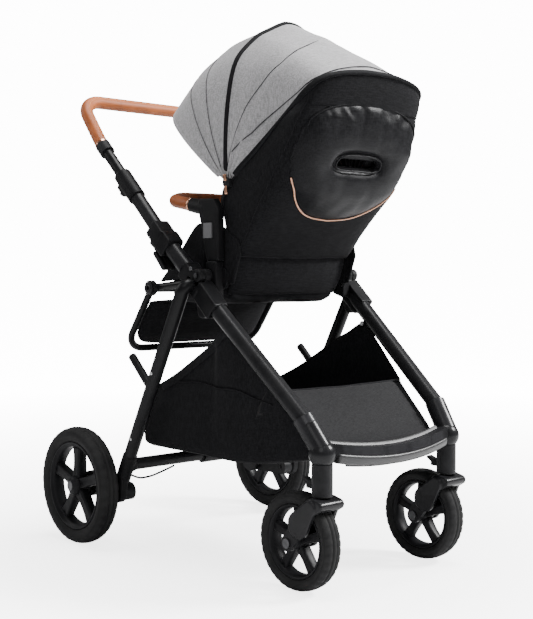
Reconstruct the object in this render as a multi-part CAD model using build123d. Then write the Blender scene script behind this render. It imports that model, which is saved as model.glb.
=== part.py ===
from build123d import *
import os
from math import atan2, cos, degrees, radians, sin, tan

# A folding baby stroller with a seat that faces the handle.
# Millimetres. X points forward, +Y is the left side, +Z is up, the floor is Z = 0.
# Right-hand pieces are modelled at negative Y and mirrored for the left side.
# While it is modelled, X = 0 is the rear axle. ORIGIN_SHIFT then centres the whole object.

# ---- driving dimensions -------------------------------------------------------------
REAR_WHEEL_R = 124.0        # rear tyre outer radius
REAR_WHEEL_W = 45.0
REAR_TRACK = 555.0          # between the rear wheels' middle planes
FRONT_WHEEL_R = 91.0        # front tyre outer radius
FRONT_WHEEL_W = 42.0
FRONT_TRACK = 347.0
CASTER_X = 628.0            # swivel axis of the front wheels
CASTER_TRAIL = 57.0
HUB_X, HUB_Z = 316.0, 557.0  # centre of the three-way frame joint on the main tube's line
HUB_Y = 206.0               # main tube's line at the joint, to each side
HUB_WIDTH = 36.0
FRAME_SLOPE = 43.1          # main tube's fall from level, degrees
FOLD_OFFSET = 20.0          # fold pin above the main tube's line
FOLD_ANGLE = 178.0          # travel of the handle frame, degrees
LEG_FOLD_ANGLE = 45.0       # travel of the rear legs in the same fold
TELESCOPE_UP, TELESCOPE_DOWN = 60.0, 60.0
FRONT_LEG_R = 16.5
REAR_LEG_R = 13.5
REAR_LEG_Y = 239.0
REAR_LEG_FOOT = (105.0, 145.0)   # X and Z of the rear leg's lower end
LOWER_TUBE_R = 17.0
OUTER_TUBE_R, OUTER_TUBE_BORE = 15.0, 13.3
HANDLE_TUBE_R = 12.0
HANDLE_Y = 216.0            # telescopic tubes, to each side
GRIP_R = 14.0
HANDLE_BAR_X, HANDLE_BAR_Z = -85.0, 957.0
HANDLE_CORNER_R = 50.0
CROSS_TUBE_R = 12.5
SEAT_HALF_WIDTH = 167.0
CANOPY_X, CANOPY_Z = 365.0, 752.0   # canopy pivot
CANOPY_R = 331.0            # front section's outer radius about the pivot
CANOPY_HALF_WIDTH = 180.0
CANOPY_SWING = 50.0
UPRIGHT_SWING, RECLINE_SWING = 10.0, 40.0   # backrest's travel from rest
CALF_UP, CALF_DOWN = 45.0, 35.0
RECLINE_X, RECLINE_Z = 338.0, 566.0
CALF_X, CALF_Z = 130.0, 545.0
BAR_Y = 171.0               # bumper bar's sockets, to each side
BAR_X, BAR_Z = 262.0, 712.0
BAR_R = 13.0

FIT = 0.1                   # gap round a piece that is fixed in another
RUN = 0.05                  # radial gap of a shaft that turns or slides in its hole
SOFT_GAP = 0.5              # between a soft piece and what it lies against

# ---- helpers ------------------------------------------------------------------------


def at(x, out, z):
    """A point on the right-hand side, `out` from the middle plane."""
    return Vector(x, -out, z)


def rod(start, end, radius):
    """A solid cylinder between two points."""
    run = Vector(*end) - Vector(*start)
    return extrude(Plane(origin=start, z_dir=run) * Circle(radius), run.length)


def pipe(start, end, radius, bore):
    """A cylinder with a through hole."""
    run = Vector(*end) - Vector(*start)
    ring = Circle(radius) - Circle(bore)
    return extrude(Plane(origin=start, z_dir=run) * ring, run.length)


def disc(x, z, radius, inner, outer):
    """A cylinder along Y on the right-hand side, from `inner` to `outer` off the middle plane."""
    return rod(at(x, inner, z), at(x, outer, z), radius)


def slab(points, inner, outer):
    """A flat plate on the right-hand side: a closed outline in X and Z, with a Y thickness."""
    face = make_face(Polyline(*[(x, z) for x, z in points], close=True))
    return extrude(Plane(origin=(0, -inner, 0), x_dir=(1, 0, 0), z_dir=(0, -1, 0)) * face, outer - inner)


def link(ends, inner, outer):
    """A plate on the right-hand side that wraps circles given as (x, z, radius)."""
    face = make_hull([edge for x, z, r in ends for edge in (Pos(x, z) * Circle(r)).edges()])
    return extrude(Plane(origin=(0, -inner, 0), x_dir=(1, 0, 0), z_dir=(0, -1, 0)) * face, outer - inner)


def along(t, n=0.0):
    """X and Z of a point `t` down the main tube's line from the joint and `n` above it."""
    a = radians(FRAME_SLOPE)
    return (HUB_X + t * cos(a) + n * sin(a), HUB_Z - t * sin(a) + n * cos(a))


def line_slab(t0, t1, n0, n1, inner, outer):
    """A block lined up with the main tube."""
    return slab([along(t0, n0), along(t1, n0), along(t1, n1), along(t0, n1)], inner, outer)


def soften(solid, axis, radius):
    """Rounds the edges of a block that run along an axis."""
    return fillet(solid.edges().filter_by(axis), radius)


def left(piece):
    return mirror(piece, about=Plane.XZ)


def twin(piece):
    """A right-hand piece and its mirror image, as two separate solids of one node."""
    return Compound(children=[solid for p in (piece, left(piece)) for solid in p.solids()])


nodes = {}


def pair(name, piece):
    nodes[name + "_right"] = piece
    nodes[name + "_left"] = left(piece)


# ---- wheels -------------------------------------------------------------------------
AXLE_R = 6.0
RIM_SHARE = 0.75            # rim seat radius over tyre radius
SPOKES = 5


def tyre(radius, width):
    seat = radius * RIM_SHARE
    half, bead = width / 2, width * 0.36
    shoulder = radius - width * 0.16
    profile = [
        Line((seat, -bead), (seat, bead)),
        ThreePointArc((seat, bead), ((seat + shoulder) / 2, half), (shoulder, half - 3)),
        ThreePointArc((shoulder, half - 3), (radius, 0), (shoulder, 3 - half)),
        ThreePointArc((shoulder, 3 - half), ((seat + shoulder) / 2, -half), (seat, -bead)),
    ]
    return revolve(make_face(profile), Axis.Y)


def rim(radius, width, hub_radius):
    seat = radius * RIM_SHARE - FIT
    opening = seat - radius * 0.085
    half = width * 0.36
    ring = revolve(make_face(Polyline(
        (opening, -half * 0.8), (seat, -half), (seat, half), (opening, half * 0.8), close=True)), Axis.Y)
    hub = Plane.XZ * Circle(hub_radius)
    hub = extrude(hub, width / 2, both=True)
    body = ring + hub
    for i in range(SPOKES):
        outline = Polyline(
            (0, -hub_radius * 0.62), (opening + 3, -radius * 0.115),
            (opening + 3, radius * 0.115), (0, hub_radius * 0.62), close=True)
        spoke = extrude(Plane.XZ * make_face(outline), half * 0.72, both=True)
        body += Rot(0, 90 + i * 360 / SPOKES, 0) * spoke
    bore = extrude(Plane.XZ * Circle(AXLE_R + RUN), width, both=True)
    return body - bore


def place_right(piece, x, out, z):
    return Pos(x, -out, z) * piece


pair("rear_tyre", place_right(tyre(REAR_WHEEL_R, REAR_WHEEL_W), 0, REAR_TRACK / 2, REAR_WHEEL_R))
pair("rear_rim", place_right(rim(REAR_WHEEL_R, REAR_WHEEL_W, 19), 0, REAR_TRACK / 2, REAR_WHEEL_R))
wheel_x = CASTER_X - CASTER_TRAIL
pair("front_tyre", place_right(tyre(FRONT_WHEEL_R, FRONT_WHEEL_W), wheel_x, FRONT_TRACK / 2, FRONT_WHEEL_R))
pair("front_rim", place_right(rim(FRONT_WHEEL_R, FRONT_WHEEL_W, 14), wheel_x, FRONT_TRACK / 2, FRONT_WHEEL_R))

# ---- front casters ------------------------------------------------------------------
FORK_INNER, FORK_OUTER = FRONT_WHEEL_W / 2 + 2.5, 33.5     # fork blade, off the wheel's middle plane
CROWN_TOP = 180.0
CROWN_MID = 166.0
STEM_R = 8.0
BARREL_R = 19.0
BARREL_TOP = 238.0
WHEEL_CLEAR = 4.0
caster_y = FRONT_TRACK / 2

barrel = rod(at(CASTER_X, caster_y, CROWN_TOP + SOFT_GAP), at(CASTER_X, caster_y, BARREL_TOP), BARREL_R)
barrel -= rod(at(CASTER_X, caster_y, CROWN_TOP), at(CASTER_X, caster_y, BARREL_TOP), STEM_R + RUN)


def fork():
    arm_mid = (CASTER_X - 30, 128.0)
    crown = link([(CASTER_X, CROWN_MID - 2, 16), (CASTER_X + 18, CROWN_MID + 1, 9)],
                 caster_y - FORK_OUTER + 4, caster_y + FORK_OUTER - 4)
    blades = link([(CASTER_X - 2, CROWN_MID - 4, 14), (*arm_mid, 25)],
                  caster_y - FORK_OUTER, caster_y + FORK_OUTER)
    body = crown + blades
    clear = disc(wheel_x, FRONT_WHEEL_R, FRONT_WHEEL_R + WHEEL_CLEAR, caster_y - FORK_INNER, caster_y + FORK_INNER)
    body -= clear
    body -= Pos(CASTER_X, -caster_y, CROWN_TOP + 20) * Box(120, 120, 40)
    return body + rod(at(CASTER_X, caster_y, CROWN_TOP - 8), at(CASTER_X, caster_y, BARREL_TOP - 4), STEM_R)


# Each lower arm is a flat blade hooked under the fork's housing and held on the axle.
def fork_arms():
    arms = link([(CASTER_X - 30, 126.0, 15), (wheel_x, FRONT_WHEEL_R, 15)],
                caster_y - FORK_OUTER + 1, caster_y + FORK_OUTER - 1)
    arms -= disc(wheel_x, FRONT_WHEEL_R, FRONT_WHEEL_R + WHEEL_CLEAR, caster_y - FORK_INNER, caster_y + FORK_INNER)
    arms -= link([(CASTER_X - 2, CROWN_MID - 4, 14 + FIT), (CASTER_X - 30, 128.0, 25 + FIT)],
                 caster_y - FORK_OUTER, caster_y + FORK_OUTER)
    return arms - disc(wheel_x, FRONT_WHEEL_R, AXLE_R + FIT, caster_y - 60, caster_y + 60)


def axle_bolt(inner, outer):
    head = disc(wheel_x, FRONT_WHEEL_R, AXLE_R + 3, outer, outer + 3)
    nut = disc(wheel_x, FRONT_WHEEL_R, AXLE_R + 3, inner - 3, inner)
    return disc(wheel_x, FRONT_WHEEL_R, AXLE_R, inner - 1, outer + 1) + head + nut


pair("caster_fork", fork())
pair("fork_arms", fork_arms())
pair("front_axle", axle_bolt(caster_y - FORK_OUTER + 1 - FIT, caster_y + FORK_OUTER - 1 + FIT))

LOCK_X, LOCK_Z = CASTER_X - BARREL_R - 6, 200.0
LOCK_SWING = 25.0
lock_ears = soften(Pos(LOCK_X + 2, -caster_y, LOCK_Z) * Box(16, 20, 14), Axis.Y, 3)
lock_ears -= Pos(LOCK_X - 4, -caster_y, LOCK_Z) * Box(20, 12.4, 30)
lock_ears -= rod(at(CASTER_X, caster_y, CROWN_TOP), at(CASTER_X, caster_y, BARREL_TOP), BARREL_R - 1)
nodes["caster_barrels"] = twin(barrel + lock_ears + disc(LOCK_X, LOCK_Z, 2.5, caster_y - 8, caster_y + 8))
lock_lever = link([(LOCK_X, LOCK_Z, 5), (LOCK_X - 17, LOCK_Z + 8, 3)], caster_y - 6, caster_y + 6)
pair("swivel_lock", lock_lever - disc(LOCK_X, LOCK_Z, 2.5 + RUN, caster_y - 9, caster_y + 9))

# ---- front frame --------------------------------------------------------------------
SLEEVE_TOP = (594.0, 184.0, 313.0)     # X, distance from the middle plane, Z
BALL_Z, BALL_R = 256.0, 25.0
HOUSING_END = 82.0                     # lower end of the joint housing along the main tube
leg_top = (*along(HOUSING_END - 42), HUB_Y - 2)
leg_start = at(leg_top[0], leg_top[2], leg_top[1])
leg_end = at(SLEEVE_TOP[0] + 12, SLEEVE_TOP[1] - 1, SLEEVE_TOP[2] - 11)
nodes["front_legs"] = twin(pipe(leg_start, leg_end, FRONT_LEG_R, FRONT_LEG_R - 2))

BOW_X, BOW_Z = 646.0, 241.0            # middle of the cross bumper
BOW_END_Z = 258.0


def bumper():
    bow = ThreePointArc(at(CASTER_X, caster_y - 4, BOW_END_Z), (BOW_X, 0, BOW_Z), at(CASTER_X, 4 - caster_y, BOW_END_Z))
    start = bow @ 0.5
    outline = Polyline((-16, -18), (12, -18), (16, 0), (-10, 22), (-18, 6), close=True)
    section = Plane(origin=start, x_dir=(1, 0, 0), z_dir=bow % 0.5) * make_face(outline)
    # The outline is drawn at the middle and swept to each end.
    half_a = Edge.make_three_point_arc(bow @ 0.5, bow @ 0.25, bow @ 0)
    half_b = Edge.make_three_point_arc(bow @ 0.5, bow @ 0.75, bow @ 1)
    body = sweep(section, path=half_a) + sweep(section, path=half_b)
    for side in (-1, 1):
        body += Pos(CASTER_X, side * caster_y, BALL_Z) * Sphere(BALL_R)
        top = Vector(SLEEVE_TOP[0] - 4, side * SLEEVE_TOP[1], SLEEVE_TOP[2] + 4)
        body += rod(top, (CASTER_X, side * (caster_y + 2), BALL_Z + 8), FRONT_LEG_R + 3.5)
    for side in (-1, 1):
        start = Vector(leg_start.X, side * -leg_start.Y, leg_start.Z)
        end = Vector(leg_end.X, side * -leg_end.Y, leg_end.Z)
        body -= rod(start, end + (end - start).normalized() * FIT, FRONT_LEG_R + FIT)
        body -= Pos(CASTER_X, side * caster_y, BARREL_TOP - 40) * Cylinder(60, 80 + 2 * FIT)
    return body


front_bumper = bumper()
nodes["front_bumper"] = front_bumper

# ---- three-way joint ----------------------------------------------------------------
FOLD_X, FOLD_Z = along(0, FOLD_OFFSET)
KNUCKLE_R = 13.0
FOLD_PIN_R = 5.0
HALF = HUB_WIDTH / 2
KNUCKLE_IN = HUB_Y - HALF + 2           # inboard knuckle belongs to the front leg
KNUCKLE_OUT = HUB_Y + HALF - 2          # outboard knuckle belongs to the handle frame
LEG_PIN_R = 7.0
REAR_LEG_FACE = HUB_Y + HALF + 0.3
hub_in, hub_out = HUB_Y - HALF, HUB_Y + HALF
LEG_PIVOT_X, LEG_PIVOT_Z = HUB_X, HUB_Z - 4


def hub_housing():
    body = line_slab(15, HOUSING_END, -19, 19, hub_in, hub_out - 2)
    body = soften(body, Axis.Y, 4)
    body += line_slab(-6, 24, -19, 3, hub_in, hub_out)
    body += line_slab(-11, 16, 0, FOLD_OFFSET, KNUCKLE_IN, HUB_Y)
    body += disc(FOLD_X, FOLD_Z, KNUCKLE_R, KNUCKLE_IN, HUB_Y)
    bulge = [(*along(57, -22), 13), (*along(34, -10), 9), (*along(72, -10), 8)]
    body += link(bulge, hub_in + 4, hub_out - 6)
    body -= rod(leg_start, leg_end, FRONT_LEG_R + FIT)
    body -= disc(FOLD_X, FOLD_Z, FOLD_PIN_R + FIT, 0, hub_out + 5)
    return body - disc(LEG_PIVOT_X, LEG_PIVOT_Z, LEG_PIN_R + FIT, hub_in + 6, hub_out + 5)


nodes["hub_housings"] = twin(hub_housing())
fold_pin = disc(FOLD_X, FOLD_Z, FOLD_PIN_R, KNUCKLE_IN - 1, KNUCKLE_OUT + 1.5)
leg_pin = disc(LEG_PIVOT_X, LEG_PIVOT_Z, LEG_PIN_R, hub_in + 7, REAR_LEG_FACE + 13)
nodes["hub_pins"] = Compound(children=[s for p in (fold_pin, leg_pin, left(fold_pin), left(leg_pin)) for s in p.solids()])

# ---- handle frame -------------------------------------------------------------------
KNUCKLE_END = -42.0
LATCH_LOW, LATCH_TOP = -97.0, -166.0
OUTER_TUBE_TOP = -262.0
CLAMP_LOW, CLAMP_TOP = -255.0, -330.0
TUBE_SOCKET = 22.0


def line_point(t, out, n=0.0):
    x, z = along(t, n)
    return at(x, out, z)


lower_start = line_point(KNUCKLE_END, HUB_Y + 2.5)
lower_end = line_point(LATCH_LOW - TUBE_SOCKET, HUB_Y + 8)
tube_dir = (lower_end - lower_start).normalized()
lower_start = lower_start - tube_dir * TUBE_SOCKET
lower_start = lower_start + tube_dir * (TUBE_SOCKET + FIT)
lower_tube = pipe(lower_start, lower_end, LOWER_TUBE_R, LOWER_TUBE_R - 2)
spigot = rod(lower_start - tube_dir * 4, lower_start + tube_dir * TUBE_SOCKET, LOWER_TUBE_R - 2 - FIT)


def handle_knuckle():
    body = line_slab(-15, KNUCKLE_END, -18, 18, hub_in + 1, hub_out)
    body = soften(body, Axis.Y, 3)
    body += line_slab(-24, 0, 5, FOLD_OFFSET, HUB_Y + 0.4, KNUCKLE_OUT)
    body += disc(FOLD_X, FOLD_Z, KNUCKLE_R, HUB_Y + 0.4, KNUCKLE_OUT)
    body -= disc(FOLD_X, FOLD_Z, FOLD_PIN_R + RUN, 0, hub_out + 5)
    body -= rod(lower_start - tube_dir * FIT, lower_end, LOWER_TUBE_R + FIT)
    return body + spigot


nodes["handle_knuckles"] = twin(handle_knuckle())

outer_low = line_point(LATCH_TOP + TUBE_SOCKET, HANDLE_Y)
outer_top = line_point(OUTER_TUBE_TOP, HANDLE_Y)
outer_tube = pipe(outer_low, outer_top, OUTER_TUBE_R, OUTER_TUBE_BORE)
nodes["side_tubes"] = Compound(children=[*twin(lower_tube).solids(), *twin(outer_tube).solids()])


def latch_housing():
    mid = (LATCH_LOW + LATCH_TOP) / 2
    body = soften(line_slab(LATCH_LOW, mid, -21, 21, HUB_Y - 12, HUB_Y + 27), Axis.Y, 5)
    body += soften(line_slab(mid + 6, LATCH_TOP, -19, 19, HANDLE_Y - 19, HANDLE_Y + 19), Axis.Y, 5)
    body += line_slab(LATCH_TOP + 14, LATCH_TOP + 26, -32, -18, HANDLE_Y - 10, HANDLE_Y - 6)
    body += line_slab(LATCH_TOP + 14, LATCH_TOP + 26, -32, -18, HANDLE_Y + 6, HANDLE_Y + 10)
    body += disc(*along(LATCH_TOP + 20, -27), 3, HANDLE_Y - 9, HANDLE_Y + 9)
    body -= rod(lower_start, lower_end + tube_dir * FIT, LOWER_TUBE_R + FIT)
    body -= rod(line_point(LATCH_TOP + TUBE_SOCKET + FIT, HANDLE_Y), outer_top, OUTER_TUBE_R + FIT)
    return body - rod(line_point(LATCH_TOP + TUBE_SOCKET + 4, HANDLE_Y), outer_top, HANDLE_TUBE_R + 1)


nodes["latch_housings"] = twin(latch_housing())
LEVER_T, LEVER_N = LATCH_TOP + 20, -27.0
LEVER_SWING = 12.0
lever = link([(*along(LEVER_T, LEVER_N), 5.5), (*along(LEVER_T + 30, LEVER_N - 2), 7),
              (*along(LEVER_T + 66, LEVER_N - 6), 5)], HANDLE_Y - 5.7, HANDLE_Y + 5.7)
paddle = link([(*along(LEVER_T + 26, LEVER_N - 5), 4.5), (*along(LEVER_T + 66, LEVER_N - 7), 5)],
              HANDLE_Y - 14, HANDLE_Y + 14)
lever = (lever + paddle) - disc(*along(LEVER_T, LEVER_N), 3 + RUN, 0, 300)
pair("fold_lever", lever)

CLAMP_R = 18.5
BUTTON_R = 7.0
BUTTON_TRAVEL = 3.0
BUTTON_T = (CLAMP_LOW + CLAMP_TOP) / 2 - 8


def clamp():
    body = rod(line_point(CLAMP_LOW, HANDLE_Y), line_point(CLAMP_TOP, HANDLE_Y), CLAMP_R)
    pad = line_slab(BUTTON_T - 16, BUTTON_T + 16, -24, -10, HANDLE_Y - 11, HANDLE_Y + 11)
    body += soften(pad, Axis.Y, 3)
    body -= rod(line_point(CLAMP_LOW + 1, HANDLE_Y), line_point(OUTER_TUBE_TOP - FIT, HANDLE_Y), OUTER_TUBE_R + FIT)
    body -= rod(line_point(CLAMP_LOW + 1, HANDLE_Y), line_point(CLAMP_TOP - 1, HANDLE_Y), HANDLE_TUBE_R + RUN)
    return body - rod(line_point(BUTTON_T, HANDLE_Y, -12.6), line_point(BUTTON_T, HANDLE_Y, -30), BUTTON_R + RUN)


nodes["telescope_clamps"] = twin(clamp())
button_top = -HANDLE_TUBE_R - 1.0 - BUTTON_TRAVEL
pair("telescope_button", rod(line_point(BUTTON_T, HANDLE_Y, button_top - 0.5), line_point(BUTTON_T, HANDLE_Y, -29), BUTTON_R))

HANDLE_LOW = -215.0         # lower end of the sliding tube
BEND_T = -443.0             # where the handle rises more steeply
RING_T = -434.0
CUFF_T = -404.0
RING_LENGTH = 5.0
bend_x, bend_z = along(BEND_T)


def handle_path(first_t):
    """The handle's centre line, from one side over the crossbar to the other."""
    half = [line_point(first_t, HANDLE_Y), at(bend_x, HANDLE_Y, bend_z), at(HANDLE_BAR_X, HANDLE_Y, HANDLE_BAR_Z)]
    other = [Vector(p.X, -p.Y, p.Z) for p in reversed(half)]
    return half + other


def handle_run(first_t, radius, bore=None):
    points = handle_path(first_t)
    path = FilletPolyline(*points, radius=[110.0, HANDLE_CORNER_R, HANDLE_CORNER_R, 110.0])
    face = Circle(radius) if bore is None else Circle(radius) - Circle(bore)
    return sweep(Plane(origin=points[0], z_dir=points[1] - points[0]) * face, path=path)


nodes["handle_tube"] = handle_run(HANDLE_LOW, HANDLE_TUBE_R, HANDLE_TUBE_R - 1.6)
grip_straight = HANDLE_Y - HANDLE_CORNER_R - 4
bar_ends = [at(HANDLE_BAR_X, out, HANDLE_BAR_Z) for out in (-grip_straight, grip_straight)]
leather = handle_run(RING_T, GRIP_R, HANDLE_TUBE_R + FIT) - rod(*bar_ends, GRIP_R + 1)
nodes["handle_grip"] = leather + pipe(*bar_ends, GRIP_R, HANDLE_TUBE_R + FIT)
ring_a, ring_b = line_point(RING_T + RING_LENGTH, HANDLE_Y), line_point(RING_T + FIT, HANDLE_Y)
nodes["grip_rings"] = twin(pipe(ring_a, ring_b, GRIP_R + 1.4, HANDLE_TUBE_R + FIT))
cuff_top = line_point(RING_T + RING_LENGTH + FIT, HANDLE_Y)
nodes["handle_cuffs"] = twin(pipe(line_point(CUFF_T, HANDLE_Y), cuff_top, GRIP_R + 2, HANDLE_TUBE_R + FIT))

# ---- rear frame ---------------------------------------------------------------------
LEG_BEND_R = 14.2
foot_x, foot_z = REAR_LEG_FOOT
ARM_X, ARM_Z = foot_x - 5, foot_z - 27     # suspension arm's pivot
ARM_PIN_R = 6.0
ARM_SWING = 8.0
SLEEVE_R = 15.4
leg_run = Vector(foot_x - LEG_PIVOT_X, 0, foot_z - LEG_PIVOT_Z).normalized()


def on_leg(height):
    """The rear leg's centre at a height."""
    share = (height - LEG_PIVOT_Z) / leg_run.Z
    return at(LEG_PIVOT_X + leg_run.X * share, REAR_LEG_Y, height)


def rear_leg():
    points = [at(LEG_PIVOT_X, REAR_LEG_FACE, LEG_PIVOT_Z), at(LEG_PIVOT_X, REAR_LEG_Y, LEG_PIVOT_Z),
              at(foot_x, REAR_LEG_Y, foot_z)]
    path = FilletPolyline(*points, radius=LEG_BEND_R)
    leg = sweep(Plane(origin=points[0], z_dir=(0, -1, 0)) * Circle(REAR_LEG_R), path=path)
    return leg - disc(LEG_PIVOT_X, LEG_PIVOT_Z, LEG_PIN_R + RUN, 0, REAR_LEG_FACE + 13.5)


CROSS_Z = 178.0
cross_x = on_leg(CROSS_Z).X
nodes["rear_legs"] = twin(rear_leg())


def axle_bracket():
    body = rod(on_leg(foot_z - 1), on_leg(CROSS_Z + 22), SLEEVE_R)
    body += link([(foot_x + 3, foot_z - 2, 15), (ARM_X, ARM_Z, 21)], REAR_LEG_Y - 1, REAR_LEG_Y + 14)
    body += disc(cross_x, CROSS_Z, CROSS_TUBE_R - 1.6, REAR_LEG_Y - SLEEVE_R - 22, REAR_LEG_Y)
    body += disc(cross_x, CROSS_Z, CROSS_TUBE_R + 2, REAR_LEG_Y - SLEEVE_R - 2, REAR_LEG_Y)
    body += disc(ARM_X, ARM_Z, ARM_PIN_R, REAR_LEG_Y - 26, REAR_LEG_Y)
    return body - rod(on_leg(foot_z - FIT), on_leg(CROSS_Z + 30), REAR_LEG_R + FIT)


nodes["axle_brackets"] = twin(axle_bracket())
cross_end = REAR_LEG_Y - SLEEVE_R - 2 - FIT
nodes["rear_crosstube"] = pipe(at(cross_x, cross_end, CROSS_Z), at(cross_x, -cross_end, CROSS_Z),
                               CROSS_TUBE_R, CROSS_TUBE_R - 1.6 + FIT)

PEG_R = 8.5
peg_root = on_leg(343.0)
peg_tip = at(peg_root.X - 68, REAR_LEG_Y, 407.0)
peg = rod(peg_root, peg_tip, PEG_R) - rod(on_leg(250), on_leg(450), REAR_LEG_R + FIT)
nodes["stand_pegs"] = twin(fillet(peg.faces().sort_by(Axis.X)[0].edges(), 4))

# Parking brake: a pedal turning on the cross tube, with a cable to the right wheel's drum.
PEDAL_R = CROSS_TUBE_R + 5
PEDAL_SWING = 22.0
pedal = disc(cross_x, CROSS_Z, PEDAL_R, -42, 42)
pedal += soften(Pos(cross_x - 34, 0, CROSS_Z + 4) * Box(52, 84, 9), Axis.Z, 8)
nodes["brake_pedal"] = pedal - disc(cross_x, CROSS_Z, CROSS_TUBE_R + RUN, -60, 60)

CABLE_R = 2.2
cable_points = [at(cross_x + 3, 120, CROSS_Z - CROSS_TUBE_R - CABLE_R - 0.3), at(cross_x + 6, 150, CROSS_Z - 22),
                at(cross_x + 4, 180, CROSS_Z - 30), at(cross_x - 4, 204, CROSS_Z - 33),
                at(foot_x + 6, REAR_LEG_Y - SLEEVE_R - 2.2, foot_z + 8)]


def corner_radii(points, share=0.45):
    radii = []
    for a, b, c in zip(points, points[1:], points[2:]):
        turn = (b - a).get_angle(c - b)
        run = min((b - a).length, (c - b).length)
        radii.append(share * run / tan(radians(turn) / 2))
    return radii


cable_radii = corner_radii(cable_points)
cable_path = FilletPolyline(*cable_points, radius=cable_radii)
cable_start = Plane(origin=cable_points[0], z_dir=cable_points[1] - cable_points[0])
nodes["brake_cable"] = sweep(cable_start * Circle(CABLE_R), path=cable_path)

# Suspension arm with the brake drum and the stub axle.
ARM_IN, ARM_OUT = REAR_LEG_Y - 25, REAR_LEG_Y - 1.4
DRUM_R = 27.0
DRUM_IN, DRUM_OUT = REAR_LEG_Y - 34, REAR_TRACK / 2 - REAR_WHEEL_W / 2 - 4


def trailing_arm():
    body = link([(ARM_X, ARM_Z, 18), (0, REAR_WHEEL_R, 22)], ARM_IN, ARM_OUT)
    body += disc(0, REAR_WHEEL_R, DRUM_R, DRUM_IN, DRUM_OUT)
    body -= disc(ARM_X, ARM_Z, ARM_PIN_R + RUN, 0, 300)
    return body - disc(0, REAR_WHEEL_R, AXLE_R + FIT, DRUM_IN + 8, 400)


pair("trailing_arm", trailing_arm())
rear_stub = disc(0, REAR_WHEEL_R, AXLE_R, DRUM_IN + 8.5, REAR_TRACK / 2 + REAR_WHEEL_W / 2 + 1)
rear_stub += disc(0, REAR_WHEEL_R, AXLE_R + 4, REAR_TRACK / 2 + REAR_WHEEL_W / 2 + 0.3, REAR_TRACK / 2 + REAR_WHEEL_W / 2 + 2.5)
pair("rear_axle", rear_stub)

# ---- seat ---------------------------------------------------------------------------
SEAT_OUT = HUB_Y - HALF - FIT           # outermost that the seat's hardware may reach
SEAT_IN = SEAT_OUT - 20
POST_X0, POST_X1 = 318.0, 350.0
ADAPTER_TOP = 600.0
adapter = soften(slab([(POST_X0, 532), (POST_X1, 522), (POST_X1, ADAPTER_TOP), (POST_X0, ADAPTER_TOP)], SEAT_IN, SEAT_OUT), Axis.Y, 5)
tongue = Pos((POST_X0 + POST_X1) / 2, -(SEAT_IN + 9), ADAPTER_TOP + 10) * Box(16, 8, 26)
adapter -= rod(leg_start, leg_end, FRONT_LEG_R + FIT)
nodes["seat_adapters"] = twin(adapter + tongue)

CHEEK_IN, CHEEK_OUT = SEAT_IN - 8, SEAT_IN - 0.3
CHEEK_X, CHEEK_Z = POST_X0, 628.0       # where the seat frame hangs on its bracket
CHEEK_PIN_R = 6.0
BUTTON_X, BUTTON_Z = 322.0, 660.0
BRACKET_OUT = SEAT_OUT - 3.0
SOCKET_R = 15.0
BAR_SLOPE = 0.18                        # rise of the bumper bar per millimetre forward of its sockets
PLUG_R, PLUG_DEPTH = 8.0, 36.0


def bar_at(forward, out):
    """A point on the bumper bar's sloping plane, `forward` of its sockets towards the handle."""
    return at(BAR_X - forward, out, BAR_Z + forward * BAR_SLOPE)


def seat_bracket():
    outline = [(POST_X0 - 14, 655), (POST_X0 - 2, ADAPTER_TOP + FIT), (POST_X1 + 2, ADAPTER_TOP + FIT),
               (POST_X1 + 2, 700), (POST_X1 - 14, BAR_Z + 10), (BAR_X + 30, BAR_Z + 12), (BAR_X + 30, BAR_Z - 18)]
    body = slab(outline, SEAT_IN, BRACKET_OUT)
    body += rod(bar_at(0, BAR_Y), bar_at(-PLUG_DEPTH - 6, BAR_Y), SOCKET_R)
    body -= tongue_room
    body -= rod(bar_at(5, BAR_Y), bar_at(-PLUG_DEPTH - 1, BAR_Y), PLUG_R + RUN)
    body -= Pos(BUTTON_X, -BRACKET_OUT, BUTTON_Z) * Box(24.2, 12.2, 30.2)
    return body + disc(CHEEK_X, CHEEK_Z, CHEEK_PIN_R, CHEEK_IN, SEAT_IN + 6)


tongue_room = Pos((POST_X0 + POST_X1) / 2, -(SEAT_IN + 9), ADAPTER_TOP + 10) * Box(16 + 2 * FIT, 8 + 2 * FIT, 26 + 2 * FIT)
nodes["seat_brackets"] = twin(seat_bracket())
MEMORY_TRAVEL = 2.5
memory = Pos(BUTTON_X, -(BRACKET_OUT - 0.5), BUTTON_Z) * Box(24, 6, 30)
pair("memory_button", memory)

RAIL_R = 9.0
RAIL_Y = 168.0
RAIL_END_X = POST_X0 - 18
rail_end_z = RECLINE_Z - 4


def seat_frame():
    rail = rod(at(RAIL_END_X, RAIL_Y, rail_end_z), at(CALF_X, RAIL_Y, CALF_Z), RAIL_R)
    rail += disc(RAIL_END_X, rail_end_z, RAIL_R, CHEEK_IN, RAIL_Y + RAIL_R)
    rail += link([(RECLINE_X, RECLINE_Z, 22), (RAIL_END_X, rail_end_z, 11)], CHEEK_IN, CHEEK_OUT)
    rail += link([(RAIL_END_X, rail_end_z, 11), (CHEEK_X, CHEEK_Z, 9)], CHEEK_IN, CHEEK_OUT)
    rail += disc(RECLINE_X, RECLINE_Z, 8, SEAT_IN - 20, SEAT_IN - 4)
    rail -= disc(CHEEK_X, CHEEK_Z, CHEEK_PIN_R + FIT, 0, 300)
    front = rod(at(CALF_X, SEAT_OUT, CALF_Z), at(CALF_X, -SEAT_OUT, CALF_Z), RAIL_R)
    return front + rail + left(rail)


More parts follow.
